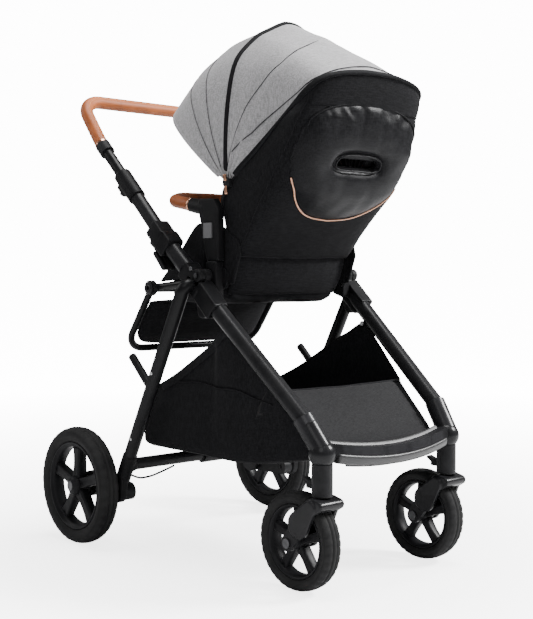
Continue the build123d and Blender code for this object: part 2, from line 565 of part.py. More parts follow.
nodes["seat_frame"] = seat_frame()
PAD_HALF = RAIL_Y - RAIL_R - SOFT_GAP
PAD_FRONT, PAD_REAR = CALF_X + RAIL_R + 2, POST_X0
PAD_LOW, PAD_TOP = 518.0, 574.0
pad = Pos((PAD_FRONT + PAD_REAR) / 2, 0, (PAD_LOW + PAD_TOP) / 2) * Box(
    PAD_REAR - PAD_FRONT, 2 * PAD_HALF, PAD_TOP - PAD_LOW)
rail_lift = RAIL_R + SOFT_GAP
side_panel = slab([(PAD_FRONT + 6, CALF_Z + rail_lift + 1.8), (RAIL_END_X - 2, rail_end_z + rail_lift),
                   (RAIL_END_X - 2, 668), (RAIL_END_X - 18, 668)], CHEEK_OUT + 1, CHEEK_OUT + 8)
nodes["seat_pad"] = Compound(children=[soften(pad, Axis.Y, 14).solid(), *twin(side_panel).solids()])

# Backrest: a bucket with a curved rear wall and side wings.
BACK_HALF = SEAT_HALF_WIDTH
PIVOT_R = 24.0              # canopy pivot
HEM_ANGLE = 40.0
BACK_TOP_R = 95.0           # rounding of the backrest's top corners
rear_line = [(376, 608), (455, 682), (512, 732), (556, 815), (586, 920)]


WALL = 16.0                 # backrest's padded rear wall
SLOT_WIDTH, SLOT_HEIGHT = 112.0, 40.0
slot_low, slot_top = rear_line[2], rear_line[3]
back_lean = degrees(atan2(slot_top[0] - slot_low[0], slot_top[1] - slot_low[1]))
SLOT_SHARE = 0.75           # the recline slot's place along that stretch of the wall
slot_x = slot_low[0] + (slot_top[0] - slot_low[0]) * SLOT_SHARE - WALL / 2 * cos(radians(back_lean))
slot_z = slot_low[1] + (slot_top[1] - slot_low[1]) * SLOT_SHARE + WALL / 2 * sin(radians(back_lean))
slot_place = Pos(slot_x, 0, slot_z) * Rot(0, back_lean, 0)


def on_hem(radius):
    """X and Z of a point on the canopy's hem line, from the pivot."""
    return (CANOPY_X + radius * cos(radians(HEM_ANGLE)), CANOPY_Z + radius * sin(radians(HEM_ANGLE)))


front_line = [on_hem(270), on_hem(22), (CANOPY_X - 22, CANOPY_Z - 2), (334, 715), (344, 640), (340, 604)]


def backrest():
    outline = rear_line + front_line
    shell = slab(outline, -BACK_HALF, BACK_HALF)
    inner_rear = [(x - WALL, z + 6) for x, z in rear_line]
    hollow = [(345, 615), (380, 640)] + inner_rear[1:-1] + [(567, 905), (540, 940), (300, 760), (280, 640)]
    shell -= slab(hollow, -(BACK_HALF - 11), BACK_HALF - 11)
    foot, top = Vector(340, 0, 600), Vector(rear_line[-1][0], 0, rear_line[-1][1])
    rise = (top - foot).length
    front_view = Plane(origin=(foot + top) * 0.5, x_dir=top - foot, z_dir=(foot - top).cross(Vector(0, 1, 0)))
    arch = fillet(Rectangle(rise + 60, 2 * BACK_HALF).vertices().group_by(Axis.X)[-1], BACK_TOP_R)
    shell &= extrude(front_view * Pos(-10, 0) * arch, 400, both=True)
    shell += disc(CANOPY_X, CANOPY_Z, PIVOT_R - 2, BACK_HALF - 11, BACK_HALF)
    shell += disc(CANOPY_X, CANOPY_Z, PIVOT_R - 2, -BACK_HALF, 11 - BACK_HALF)
    bore = disc(RECLINE_X, RECLINE_Z, 8 + RUN, -BACK_HALF, BACK_HALF)
    lug = link([(RECLINE_X, RECLINE_Z, 17), (362, 610, 15)], SEAT_IN - 19, SEAT_IN - 9)
    slot = slot_place * Box(70, SLOT_WIDTH, SLOT_HEIGHT)
    return (shell + lug + left(lug)) - bore - slot


nodes["backrest"] = backrest()
GRIP_HEIGHT, GRIP_DEPTH = 16.0, 10.0
RECLINE_TRAVEL = 6.0
grip_rise = (SLOT_HEIGHT - GRIP_HEIGHT) / 2 - RECLINE_TRAVEL - 1
grip = slot_place * Pos(0, 0, grip_rise) * Box(GRIP_DEPTH, SLOT_WIDTH - 4 * FIT, GRIP_HEIGHT)
nodes["recline_handle"] = soften(grip, Axis.Y, 4)

# Canopy: two nested fabric shells about the pivot. The front one swings back over the rear one.
CLOTH = 3.0
ZIP_ANGLE = 90.0
FRONT_ANGLE = 140.0


def rib(angle, radius, half_width):
    """A U-shaped section through the canopy at an angle above the horizontal, front being zero."""
    straight = radius * 0.42
    outer = [Line((PIVOT_R + 1, -half_width), (straight, -half_width)),
             EllipticalCenterArc((straight, 0), radius - straight, half_width, start_angle=270, arc_size=180),
             Line((straight, half_width), (PIVOT_R + 1, half_width)),
             Line((PIVOT_R + 1, half_width), (PIVOT_R + 1, half_width - CLOTH)),
             Line((PIVOT_R + 1, half_width - CLOTH), (straight, half_width - CLOTH)),
             EllipticalCenterArc((straight, 0), radius - straight - CLOTH, half_width - CLOTH, start_angle=270, arc_size=180),
             Line((straight, CLOTH - half_width), (PIVOT_R + 1, CLOTH - half_width)),
             Line((PIVOT_R + 1, CLOTH - half_width), (PIVOT_R + 1, -half_width))]
    a = radians(angle)
    plane = Plane(origin=(CANOPY_X, 0, CANOPY_Z), x_dir=(cos(a), 0, sin(a)), z_dir=(sin(a), 0, -cos(a)))
    return plane * make_face(outer)


rear_half = CANOPY_HALF_WIDTH - CLOTH - 1.0
rear_ribs = [(HEM_ANGLE + 0.3, 300), (55, 278), (73, 297), (ZIP_ANGLE, CANOPY_R - CLOTH - 2)]
rear_sections = [rib(a, r, rear_half) for a, r in rear_ribs]
nodes["canopy_rear"] = loft(Sketch() + rear_sections[:2], ruled=True)
for pair_of in zip(rear_sections[1:], rear_sections[2:]):
    nodes["canopy_rear"] += loft(Sketch() + list(pair_of), ruled=True)
front_face = rib(ZIP_ANGLE + 0.4, CANOPY_R, CANOPY_HALF_WIDTH)
pivot_axis = Axis((CANOPY_X, 0, CANOPY_Z), (0, -1, 0))
nodes["canopy_front"] = revolve(front_face, pivot_axis, FRONT_ANGLE - ZIP_ANGLE)
canopy_pivot = disc(CANOPY_X, CANOPY_Z, PIVOT_R + 0.5, BACK_HALF + FIT, CANOPY_HALF_WIDTH + 2)
nodes["canopy_pivots"] = twin(canopy_pivot)

# Calf rest: a loop of tube that hangs from the seat's front tube, with its pad.
CALF_TUBE_R = 7.5
CALF_EYE_R = 16.0
CALF_Y = SEAT_OUT - CALF_TUBE_R
CALF_CORNER_R = 45.0
calf_tip = (CALF_X - 96, CALF_Z - 132)
calf_run = Vector(calf_tip[0] - CALF_X, 0, calf_tip[1] - CALF_Z).normalized()


def calf_rest():
    start = Vector(CALF_X, 0, CALF_Z) + calf_run * (CALF_EYE_R - 3)
    corners = [at(start.X, CALF_Y, start.Z), at(calf_tip[0], CALF_Y, calf_tip[1])]
    points = corners + [Vector(p.X, -p.Y, p.Z) for p in reversed(corners)]
    loop = sweep(Plane(origin=points[0], z_dir=calf_run) * Circle(CALF_TUBE_R),
                 path=FilletPolyline(*points, radius=CALF_CORNER_R))
    eye = disc(CALF_X, CALF_Z, CALF_EYE_R, RAIL_Y + RAIL_R + 0.3, SEAT_OUT)
    loop += eye + left(eye)
    return loop - disc(CALF_X, CALF_Z, RAIL_R + RUN, -300, 300)


nodes["calf_rest"] = calf_rest()
PAD_START, PAD_END, PAD_THICK = 30.0, 153.0, 24.0      # calf pad, down from its pivot
calf_plane = Plane(origin=Vector(CALF_X, 0, CALF_Z) + calf_run * ((PAD_START + PAD_END) / 2),
                   x_dir=calf_run, z_dir=(0, -1, 0))
calf_half = CALF_Y - CALF_TUBE_R - SOFT_GAP
calf_pad = extrude(calf_plane * RectangleRounded(PAD_END - PAD_START, PAD_THICK, 9), calf_half, both=True)
calf_front = Plane(origin=calf_plane.origin, x_dir=calf_run, z_dir=calf_run.cross(Vector(0, 1, 0)))
calf_outline = fillet(Rectangle(PAD_END - PAD_START, 2 * calf_half).vertices().group_by(Axis.X)[-1], CALF_CORNER_R)
nodes["calf_pad"] = calf_pad & extrude(calf_front * calf_outline, 60, both=True)

# Bumper bar: a leather-covered loop that pulls straight out of the two sockets.
BAR_PULL = PLUG_DEPTH + 4
bar_half = [bar_at(6, BAR_Y), bar_at(70, BAR_Y - 2), bar_at(134, BAR_Y - 70)]
bar_points = bar_half + [bar_at(150, 0)] + [Vector(p.X, -p.Y, p.Z) for p in reversed(bar_half)]
bar_path = FilletPolyline(*bar_points, radius=[60, 90, 200, 90, 60])
bar_plane = Plane(origin=bar_points[0], z_dir=bar_points[1] - bar_points[0])
nodes["bumper_bar"] = sweep(bar_plane * Circle(BAR_R), path=bar_path)
plug = rod(bar_at(-PLUG_DEPTH, BAR_Y), bar_at(5.4, BAR_Y), PLUG_R) + rod(bar_at(0.3, BAR_Y), bar_at(5.4, BAR_Y), BAR_R + 1)
nodes["bar_plugs"] = twin(plug)

# ---- basket -------------------------------------------------------------------------
BASKET_REAR, BASKET_FRONT = 180.0, 160.0     # half widths
CLOTH_WALL = 4.0
basket_side = [(136, 216), (172, 345), (392, 472), (506, 356), (604, 262), (590, 238), (400, 210)]
basket_plan = [(100, -BASKET_REAR), (400, -BASKET_REAR), (640, -BASKET_FRONT),
               (640, BASKET_FRONT), (400, BASKET_REAR), (100, BASKET_REAR)]


def prism(points, z0, z1):
    face = make_face(Polyline(*points, close=True))
    return extrude(Pos(0, 0, z0) * face, z1 - z0)


def basket():
    shell = slab(basket_side, -BASKET_REAR, BASKET_REAR) & prism(basket_plan, 0, 700)
    w = CLOTH_WALL
    room = [(136 + w, 216 + w), (172 + w, 345), (172, 420), (392, 560), (506 - w, 400), (506 - w, 356 - w),
            (604 - 2 * w, 262), (590 - w, 238 + w), (400, 210 + w)]
    plan = [(x, y - w if y > 0 else y + w) for x, y in basket_plan]
    return shell - (slab(room, -BASKET_REAR, BASKET_REAR) & prism(plan, 0, 700))


nodes["basket"] = basket()
SNAP_R = 5.0


def leg_inner(x):
    """Inner face of the front leg at a place along the frame, as a distance from the middle plane."""
    share = (x - leg_start.X) / (leg_end.X - leg_start.X)
    return -(leg_start.Y + (leg_end.Y - leg_start.Y) * share), leg_start.Z + (leg_end.Z - leg_start.Z) * share


def snap(x, drop):
    out, z = leg_inner(x)
    point = disc(x, z - drop, SNAP_R, BASKET_REAR + 0.3 if x < 420 else out - 28, out)
    return point - rod(leg_start, leg_end, FRONT_LEG_R + FIT)


nodes["basket_snaps"] = twin(snap(392, 20))

# ---- placing and writing ------------------------------------------------------------
whole = Compound(children=[s for n in nodes.values() for s in n.solids()]).bounding_box()
ORIGIN_SHIFT = -(whole.min.X + whole.max.X) / 2

if __name__ == "__main__":
    os.makedirs("parts", exist_ok=True)
    for name, shape in nodes.items():
        solids = (Pos(ORIGIN_SHIFT, 0, 0) * shape).solids()
        export_step(solids[0] if len(solids) == 1 else Compound(children=solids), f"parts/{name}.step")
    print(len(nodes), "nodes, shift", ORIGIN_SHIFT, "size", whole.size)
    print("cable radii", [round(r, 1) for r in cable_radii])
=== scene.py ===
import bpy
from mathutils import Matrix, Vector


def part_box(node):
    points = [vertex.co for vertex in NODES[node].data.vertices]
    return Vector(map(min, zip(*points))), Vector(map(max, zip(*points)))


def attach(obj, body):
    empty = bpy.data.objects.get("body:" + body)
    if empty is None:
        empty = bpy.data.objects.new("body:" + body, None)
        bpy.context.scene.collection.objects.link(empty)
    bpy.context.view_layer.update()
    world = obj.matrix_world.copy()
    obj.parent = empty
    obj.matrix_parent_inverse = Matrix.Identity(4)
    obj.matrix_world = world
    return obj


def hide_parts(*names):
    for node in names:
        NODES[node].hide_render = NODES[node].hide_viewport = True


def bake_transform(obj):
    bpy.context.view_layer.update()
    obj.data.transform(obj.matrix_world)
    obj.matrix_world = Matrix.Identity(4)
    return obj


bl_info = {
    "name": "Baby stroller",
    "version": (1, 0, 0),
    "blender": (4, 5, 0),
    "location": "View3D > Sidebar > Stroller",
    "description": "Builds the fabric, leather, wheels and finishes of a folding baby stroller",
    "category": "Object",
}

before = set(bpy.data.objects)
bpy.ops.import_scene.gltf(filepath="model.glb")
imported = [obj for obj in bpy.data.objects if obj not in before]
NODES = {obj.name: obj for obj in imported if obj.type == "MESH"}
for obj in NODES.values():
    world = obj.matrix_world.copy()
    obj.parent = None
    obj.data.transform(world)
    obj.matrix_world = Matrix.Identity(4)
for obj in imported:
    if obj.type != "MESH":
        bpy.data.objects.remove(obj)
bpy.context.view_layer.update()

import math

import bmesh
import bpy
from mathutils import Matrix, Vector, noise

MM = 0.001
SIDES = (("right", -1), ("left", 1))


def middle(node):
    low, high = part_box(node)
    return (low + high) / 2


AXLE_X = middle("rear_rim_right").x


def at(x, y, z):
    """A point given in millimetres from the rear axle, the middle plane and the floor."""
    return Vector((AXLE_X + x * MM, y * MM, z * MM))


# ---- meshes -------------------------------------------------------------------------


def link(name, data):
    obj = bpy.data.objects.new(name, data)
    bpy.context.scene.collection.objects.link(obj)
    return obj


def mesh_object(name, points, faces):
    data = bpy.data.meshes.new(name)
    data.from_pydata([tuple(p) for p in points], [], faces)
    data.update()
    return link(name, data)


def grid(name, rows, wrap_rows=False, wrap_columns=False):
    """A mesh through rows of points, all of one length."""
    height, width = len(rows), len(rows[0])
    faces = []
    for i in range(height if wrap_rows else height - 1):
        for j in range(width if wrap_columns else width - 1):
            a, b = i % height, (i + 1) % height
            c, d = j % width, (j + 1) % width
            faces.append((a * width + c, a * width + d, b * width + d, b * width + c))
    return mesh_object(name, [p for row in rows for p in row], faces)


def cut_size(rows):
    """Width, length and area of the cloth that a grid of points stands for."""
    width = max(sum((b - a).length for a, b in zip(row, row[1:])) for row in rows)
    length = max(sum((b - a).length for a, b in zip(column, column[1:])) for column in zip(*rows))
    area = 0.0
    for low, high in zip(rows, rows[1:]):
        for a, b, c, d in zip(low, low[1:], high[1:], high):
            area += ((b - a).cross(c - a).length + (c - a).cross(d - a).length) / 2
    return width, length, area


def outward(obj, close=False):
    """Turns the faces outward; with `close`, the open ends are filled first."""
    bm = bmesh.new()
    bm.from_mesh(obj.data)
    if close:
        bmesh.ops.holes_fill(bm, edges=[e for e in bm.edges if e.is_boundary])
    bmesh.ops.recalc_face_normals(bm, faces=bm.faces)
    bm.to_mesh(obj.data)
    bm.free()


def cap_ends(obj):
    outward(obj, close=True)


def smooth(obj, levels=0):
    if obj.type == "MESH":
        obj.data.polygons.foreach_set("use_smooth", [True] * len(obj.data.polygons))
    if levels:
        subdivide = obj.modifiers.new("Subdivide", "SUBSURF")
        subdivide.levels = subdivide.render_levels = levels


def thicken(obj, thickness, lining=None, offset=-1.0):
    shell = obj.modifiers.new("Thickness", "SOLIDIFY")
    shell.thickness = thickness * MM
    shell.offset = offset
    shell.use_even_offset = True
    if lining is not None:
        obj.data.materials.append(material(lining))
        shell.material_offset = shell.material_offset_rim = 1


def apply_modifiers(obj):
    depsgraph = bpy.context.evaluated_depsgraph_get()
    data = bpy.data.meshes.new_from_object(obj.evaluated_get(depsgraph))
    obj.modifiers.clear()
    obj.data = data
    smooth(obj)


def dress(obj, finish, body):
    """Gives a piece its finish and the body that it rides on."""
    if obj.data.materials:
        obj.data.materials[0] = material(finish)
    else:
        obj.data.materials.append(material(finish))
    if body:
        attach(obj, body)
    return obj


def cord_curve(name, points, radius, finish, body, cyclic=False):
    """A round cord such as piping or a seam, along a smooth line."""
    data = bpy.data.curves.new(name, "CURVE")
    data.dimensions = "3D"
    data.bevel_depth = radius * MM
    data.bevel_resolution = 2
    data.resolution_u = 5
    data.use_fill_caps = True
    spline = data.splines.new("NURBS")
    spline.points.add(len(points) - 1)
    for target, p in zip(spline.points, points):
        target.co = (*p, 1)
    spline.order_u = 3
    spline.use_endpoint_u = not cyclic
    spline.use_cyclic_u = cyclic
    obj = link(name, data)
    return dress(obj, finish, body)


def directions(points, index):
    a = points[max(index - 1, 0)]
    b = points[min(index + 1, len(points) - 1)]
    return (b - a).normalized()


def strap(name, points, normals, width, thickness, finish, body, levels=1, dome=0.0):
    """Flat webbing along a line of points, with its face turned to the normals."""
    rows = []
    for i, (p, n) in enumerate(zip(points, normals)):
        run = directions(points, i)
        across = run.cross(n).normalized()
        up = across.cross(run).normalized()
        half, t = width / 2 * MM, thickness / 2 * MM
        rows.append([
            p - across * half - up * t, p - across * half + up * t,
            p + up * (t + dome * MM),
            p + across * half + up * t, p + across * half - up * t, p - up * t,
        ])
    obj = grid(name, rows, wrap_columns=True)
    cap_ends(obj)
    smooth(obj, levels)
    return dress(obj, finish, body)


def stitches(name, points, length, gap, radius, finish, body, up=None):
    """A row of short thread stitches that follows a line of points."""
    verts, faces = [], []
    distance, start = 0.0, 0.0
    step = (length + gap) * MM
    for a, b in zip(points, points[1:]):
        run = (b - a).length
        while start < distance + run:
            t = (start - distance) / run
            centre = a.lerp(b, t)
            along_line = (b - a).normalized()
            side = along_line.cross(up or Vector((0.31, 0.2, 0.93))).normalized()
            rise = side.cross(along_line)
            base = len(verts)
            for end, r in ((-0.5, 0.35), (-0.28, 1.0), (0.28, 1.0), (0.5, 0.35)):
                for k in range(6):
                    turn = math.radians(60 * k)
                    verts.append(centre + along_line * (length * MM * end)
                                 + (side * math.cos(turn) + rise * math.sin(turn)) * radius * r * MM)
            for ring in range(3):
                for k in range(6):
                    p, q = base + ring * 6 + k, base + ring * 6 + (k + 1) % 6
                    faces.append((p, q, q + 6, p + 6))
            faces.append(tuple(base + 5 - k for k in range(6)))
            faces.append(tuple(base + 18 + k for k in range(6)))
            start += step
        distance += run
    obj = mesh_object(name, verts, faces)
    outward(obj)
    smooth(obj)
    return dress(obj, finish, body)


def turned(name, profile, centre, segments=72, axis="Y"):
    """A body of revolution; the profile gives (radius, offset along the axis) in millimetres."""
    rows = []
    for i in range(segments):
        a = math.tau * i / segments
        row = []
        for r, h in profile:
            if axis == "Y":
                row.append(centre + Vector((r * math.cos(a), h, r * math.sin(a))) * MM)
            else:
                row.append(centre + Vector((r * math.cos(a), r * math.sin(a), h)) * MM)
        rows.append(row)
    obj = grid(name, rows, wrap_rows=True, wrap_columns=True)
    outward(obj)
    smooth(obj)
    return obj


def join(name, parts):
    bm = bmesh.new()
    for part in parts:
        bm.from_mesh(part.data)
        bpy.data.objects.remove(part)
    data = bpy.data.meshes.new(name)
    bm.to_mesh(data)
    bm.free()
    obj = link(name, data)
    smooth(obj)
    return obj


def spread(values, table):
    """Linear interpolation in a table of (place, value) rows."""
    for (a, va), (b, vb) in zip(table, table[1:]):
        if values <= b:
            t = (values - a) / (b - a)
            return va + (vb - va) * t
    return table[-1][1]


def through(points, per_run):
    """Points along a smooth line that passes through each given point."""
    result = []
    ends = [points[0] * 2 - points[1]] + list(points) + [points[-1] * 2 - points[-2]]
    for a, b, c, d in zip(ends, ends[1:], ends[2:], ends[3:]):
        for k in range(per_run):
            t = k / per_run
            result.append(0.5 * (b * 2 + (c - a) * t + (a * 2 - b * 5 + c * 4 - d) * t * t
                                 + (b * 3 - a - c * 3 + d) * t ** 3))
    return result + [points[-1]]


# ---- shader groups ------------------------------------------------------------------


def shader_node(tree, kind, inputs=None, **settings):
    made = tree.nodes.new(kind)
    for key, value in settings.items():
        setattr(made, key, value)
    for key, value in (inputs or {}).items():
        if hasattr(value, "is_linked") or isinstance(value, bpy.types.NodeSocket):
            tree.links.new(value, made.inputs[key])
        else:
            made.inputs[key].default_value = value
    return made


def maths(tree, operation, a, b=None, c=None):
    made = tree.nodes.new("ShaderNodeMath")
    made.operation = operation
    for index, value in enumerate((a, b, c)):
        if value is None:
            continue
        if isinstance(value, bpy.types.NodeSocket):
            tree.links.new(value, made.inputs[index])
        else:
            made.inputs[index].default_value = value
    return made.outputs[0]


def group(name, inputs, outputs):
    """An empty node group with named inputs and outputs; returns its tree, input sockets and output node."""
    tree = bpy.data.node_groups.new(name, "ShaderNodeTree")
    for label, default in inputs:
        socket = tree.interface.new_socket(label, in_out="INPUT", socket_type="NodeSocketFloat")
        socket.default_value = default
    for label in outputs:
        tree.interface.new_socket(label, in_out="OUTPUT", socket_type="NodeSocketFloat")
    entry = tree.nodes.new("NodeGroupInput")
    leave = tree.nodes.new("NodeGroupOutput")
    return tree, entry.outputs, leave.inputs


def metres(tree, size):
    """Object coordinates divided by a size, so one unit is one feature of the pattern."""
    place = shader_node(tree, "ShaderNodeTexCoord")
    scale = maths(tree, "DIVIDE", 1.0, size)
    return shader_node(tree, "ShaderNodeVectorMath", {0: place.outputs["Object"], "Scale": scale},
                       operation="SCALE").outputs[0]


def stretched_noise(tree, vector, stretch, detail=2.0):
    shaped = shader_node(tree, "ShaderNodeVectorMath", {0: vector, 1: stretch},
                         operation="MULTIPLY").outputs[0]
    return shader_node(tree, "ShaderNodeTexNoise", {"Vector": shaped, "Scale": 1.0,
                                                    "Detail": detail}).outputs["Fac"]


def weave_group():
    """Threads that cross each other, with the flecks of a melange yarn, and broad patches of painted crease
    shade.
    """
    tree, entry, leave = group("Woven cloth", [("Thread", 0.0008), ("Fleck", 0.004)],
                               ["Height", "Fleck", "Crease"])
    thread = metres(tree, entry["Thread"])
    axes = shader_node(tree, "ShaderNodeSeparateXYZ", {0: thread}).outputs
    waves = [maths(tree, "SINE", maths(tree, "MULTIPLY", axis, math.pi)) for axis in axes]
    crossed = maths(tree, "MULTIPLY", waves[0], waves[1])
    for a, b in ((1, 2), (2, 0)):
        crossed = maths(tree, "ADD", crossed, maths(tree, "MULTIPLY", waves[a], waves[b]))
    tree.links.new(maths(tree, "MULTIPLY_ADD", crossed, 0.33, 0.5), leave["Height"])
    yarn = metres(tree, entry["Fleck"])
    level = stretched_noise(tree, yarn, (1.0, 0.22, 3.2))
    upright = stretched_noise(tree, yarn, (2.4, 3.0, 0.3))
    tree.links.new(maths(tree, "MULTIPLY_ADD", maths(tree, "ADD", level, upright), 1.6, -1.1), leave["Fleck"])
    # Broad noise that darkens the cloth's colour where shade in creases would fall, and lightens it a little
    # elsewhere: painted crease shade.
    wide = metres(tree, 0.09)
    tree.links.new(stretched_noise(tree, wide, (1.0, 1.0, 0.6), 3.0), leave["Crease"])
    return tree


def leather_group():
    tree, entry, leave = group("Leather grain", [("Grain", 0.0016)], ["Height", "Shade"])
    place = metres(tree, entry["Grain"])
    cells = shader_node(tree, "ShaderNodeTexVoronoi", {"Vector": place, "Scale": 1.0},
                        feature="DISTANCE_TO_EDGE").outputs["Distance"]
    tree.links.new(maths(tree, "MINIMUM", maths(tree, "MULTIPLY", cells, 4.0), 1.0), leave["Height"])
    wide = metres(tree, 0.035)
    tree.links.new(stretched_noise(tree, wide, (1.0, 1.0, 1.0), 4.0), leave["Shade"])
    return tree


def moulded_group():
    """Fine spark-eroded grain with slow changes of gloss."""
    tree, entry, leave = group("Moulded grain", [("Grain", 0.0006)], ["Height", "Gloss", "Scuff"])
    fine = metres(tree, entry["Grain"])
    tree.links.new(stretched_noise(tree, fine, (1.0, 1.0, 1.0), 1.0), leave["Height"])
    wide = metres(tree, 0.05)
    tree.links.new(stretched_noise(tree, wide, (1.0, 1.0, 1.0), 3.0), leave["Gloss"])
    edge = shader_node(tree, "ShaderNodeNewGeometry").outputs["Pointiness"]
    worn = maths(tree, "MULTIPLY", maths(tree, "SUBTRACT", edge, 0.515), 14.0)
    scuff = shader_node(tree, "ShaderNodeMath", {0: worn,
                                                 1: stretched_noise(tree, wide, (3.0, 3.0, 3.0), 6.0)},
                        operation="MULTIPLY", use_clamp=True).outputs[0]
    tree.links.new(scuff, leave["Scuff"])
    return tree


def brushed_group():
    tree, entry, leave = group("Brushed lines", [("Line", 0.0006)], ["Height", "Shade"])
    place = metres(tree, entry["Line"])
    tree.links.new(stretched_noise(tree, place, (1.0, 0.03, 1.0), 2.0), leave["Height"])
    wide = metres(tree, 0.02)
    tree.links.new(stretched_noise(tree, wide, (1.0, 0.2, 1.0), 3.0), leave["Shade"])
    return tree


GROUPS = {}


def shared(name, make):
    if name not in GROUPS:
        GROUPS[name] = make()
    return GROUPS[name]


# ---- materials ----------------------------------------------------------------------
# Each finish: pattern, dark colour, light colour, lowest and highest roughness, bump in mm, extra sockets, sizes.
FINISHES = {
    "black powder coat": ("moulded", (0.003, 0.003, 0.0035), (0.006, 0.006, 0.0065), (0.26, 0.40), 0.05,
                          {"Coat Weight": 0.05, "Coat Roughness": 0.25}, {"Grain": 0.0011}),
    "black moulding": ("moulded", (0.0035, 0.0035, 0.004), (0.0075, 0.0075, 0.008), (0.40, 0.56), 0.10,
                       {}, {"Grain": 0.0008}),
    "gloss moulding": ("moulded", (0.006, 0.006, 0.0065), (0.010, 0.010, 0.011), (0.24, 0.36), 0.03,
                       {"Coat Weight": 0.12, "Coat Roughness": 0.2}, {"Grain": 0.0012}),
    "wheel moulding": ("moulded", (0.005, 0.005, 0.0055), (0.010, 0.010, 0.011), (0.34, 0.50), 0.06,
                       {}, {"Grain": 0.0009}),
    "grey moulding": ("moulded", (0.035, 0.035, 0.037), (0.055, 0.055, 0.057), (0.42, 0.55), 0.08,
                      {}, {"Grain": 0.0008}),
    "tyre rubber": ("moulded", (0.007, 0.007, 0.0075), (0.016, 0.016, 0.016), (0.58, 0.78), 0.12,
                    {}, {"Grain": 0.0012}),
    "cable sheath": ("moulded", (0.006, 0.006, 0.006), (0.012, 0.012, 0.012), (0.35, 0.45), 0.03,
                     {}, {"Grain": 0.0008}),
    "tan leather": ("leather", (0.20, 0.047, 0.010), (0.32, 0.085, 0.021), (0.40, 0.56), 0.12,
                    {"Specular IOR Level": 0.22, "Coat Weight": 0.03, "Coat Roughness": 0.4},
                    {"Grain": 0.0017}),
    "rose metal": ("brushed", (0.62, 0.29, 0.17), (0.78, 0.42, 0.28), (0.14, 0.26), 0.01,
                   {"Metallic": 1.0}, {"Line": 0.0005}),
    "bright steel": ("brushed", (0.34, 0.34, 0.35), (0.50, 0.50, 0.51), (0.22, 0.34), 0.01,
                     {"Metallic": 1.0}, {"Line": 0.0005}),
    "dark steel": ("brushed", (0.05, 0.05, 0.052), (0.09, 0.09, 0.095), (0.26, 0.38), 0.01,
                   {"Metallic": 1.0}, {"Line": 0.0005}),
    "grey melange": ("weave", (0.15, 0.147, 0.151), (0.27, 0.265, 0.272), (0.85, 0.95), 0.22,
                     {"Sheen Weight": 0.15, "Sheen Roughness": 0.5}, {"Thread": 0.0011, "Fleck": 0.0042}),
    "black cloth": ("weave", (0.0035, 0.0035, 0.004), (0.0095, 0.0095, 0.0105), (0.80, 0.92), 0.25,
                    {"Sheen Weight": 0.03, "Sheen Roughness": 0.4}, {"Thread": 0.0012, "Fleck": 0.004}),
    "satin cloth": ("weave", (0.0045, 0.0045, 0.005), (0.009, 0.009, 0.010), (0.32, 0.44), 0.10,
                    {"Sheen Weight": 0.04, "Sheen Roughness": 0.3}, {"Thread": 0.0009, "Fleck": 0.004}),
    "dark heather": ("weave", (0.008, 0.008, 0.0085), (0.022, 0.022, 0.023), (0.84, 0.94), 0.30,
                     {"Sheen Weight": 0.04, "Sheen Roughness": 0.5}, {"Thread": 0.0013, "Fleck": 0.0014}),
    # The tray's black is about twice as light as the bumper's gloss moulding. This lighter copy of the same
    # plastic stands in for the sheen on its sloping face: painted sheen.
    "tray moulding": ("moulded", (0.012, 0.012, 0.0125), (0.020, 0.020, 0.021), (0.34, 0.44), 0.03,
                      {"Specular IOR Level": 0.35}, {"Grain": 0.0014}),
    "black webbing": ("weave", (0.004, 0.004, 0.0045), (0.011, 0.011, 0.012), (0.62, 0.76), 0.35,
                      {}, {"Thread": 0.0020, "Fleck": 0.003}),
    "seam thread": ("weave", (0.012, 0.012, 0.013), (0.05, 0.05, 0.052), (0.7, 0.85), 0.05,
                    {}, {"Thread": 0.0010, "Fleck": 0.002}),
    "rose thread": ("weave", (0.50, 0.24, 0.14), (0.66, 0.36, 0.23), (0.38, 0.5), 0.05,
                    {}, {"Thread": 0.0010, "Fleck": 0.002}),
    "tan thread": ("weave", (0.42, 0.17, 0.06), (0.58, 0.27, 0.11), (0.5, 0.6), 0.05,
                   {}, {"Thread": 0.0006, "Fleck": 0.002}),
}
PATTERNS = {"weave": ("Woven cloth", weave_group), "leather": ("Leather grain", leather_group),
            "moulded": ("Moulded grain", moulded_group), "brushed": ("Brushed lines", brushed_group)}
DARK_SHINE = {"weave": 0.05, "leather": 0.3, "moulded": 0.07, "brushed": 0.5}
SHADE = {"weave": "Fleck", "leather": "Shade", "moulded": "Gloss", "brushed": "Shade"}
COLOUR_CHOICES = {"grey melange": "canopy_colour", "tan leather": "leather_colour",
                  "rose metal": "trim_colour"}


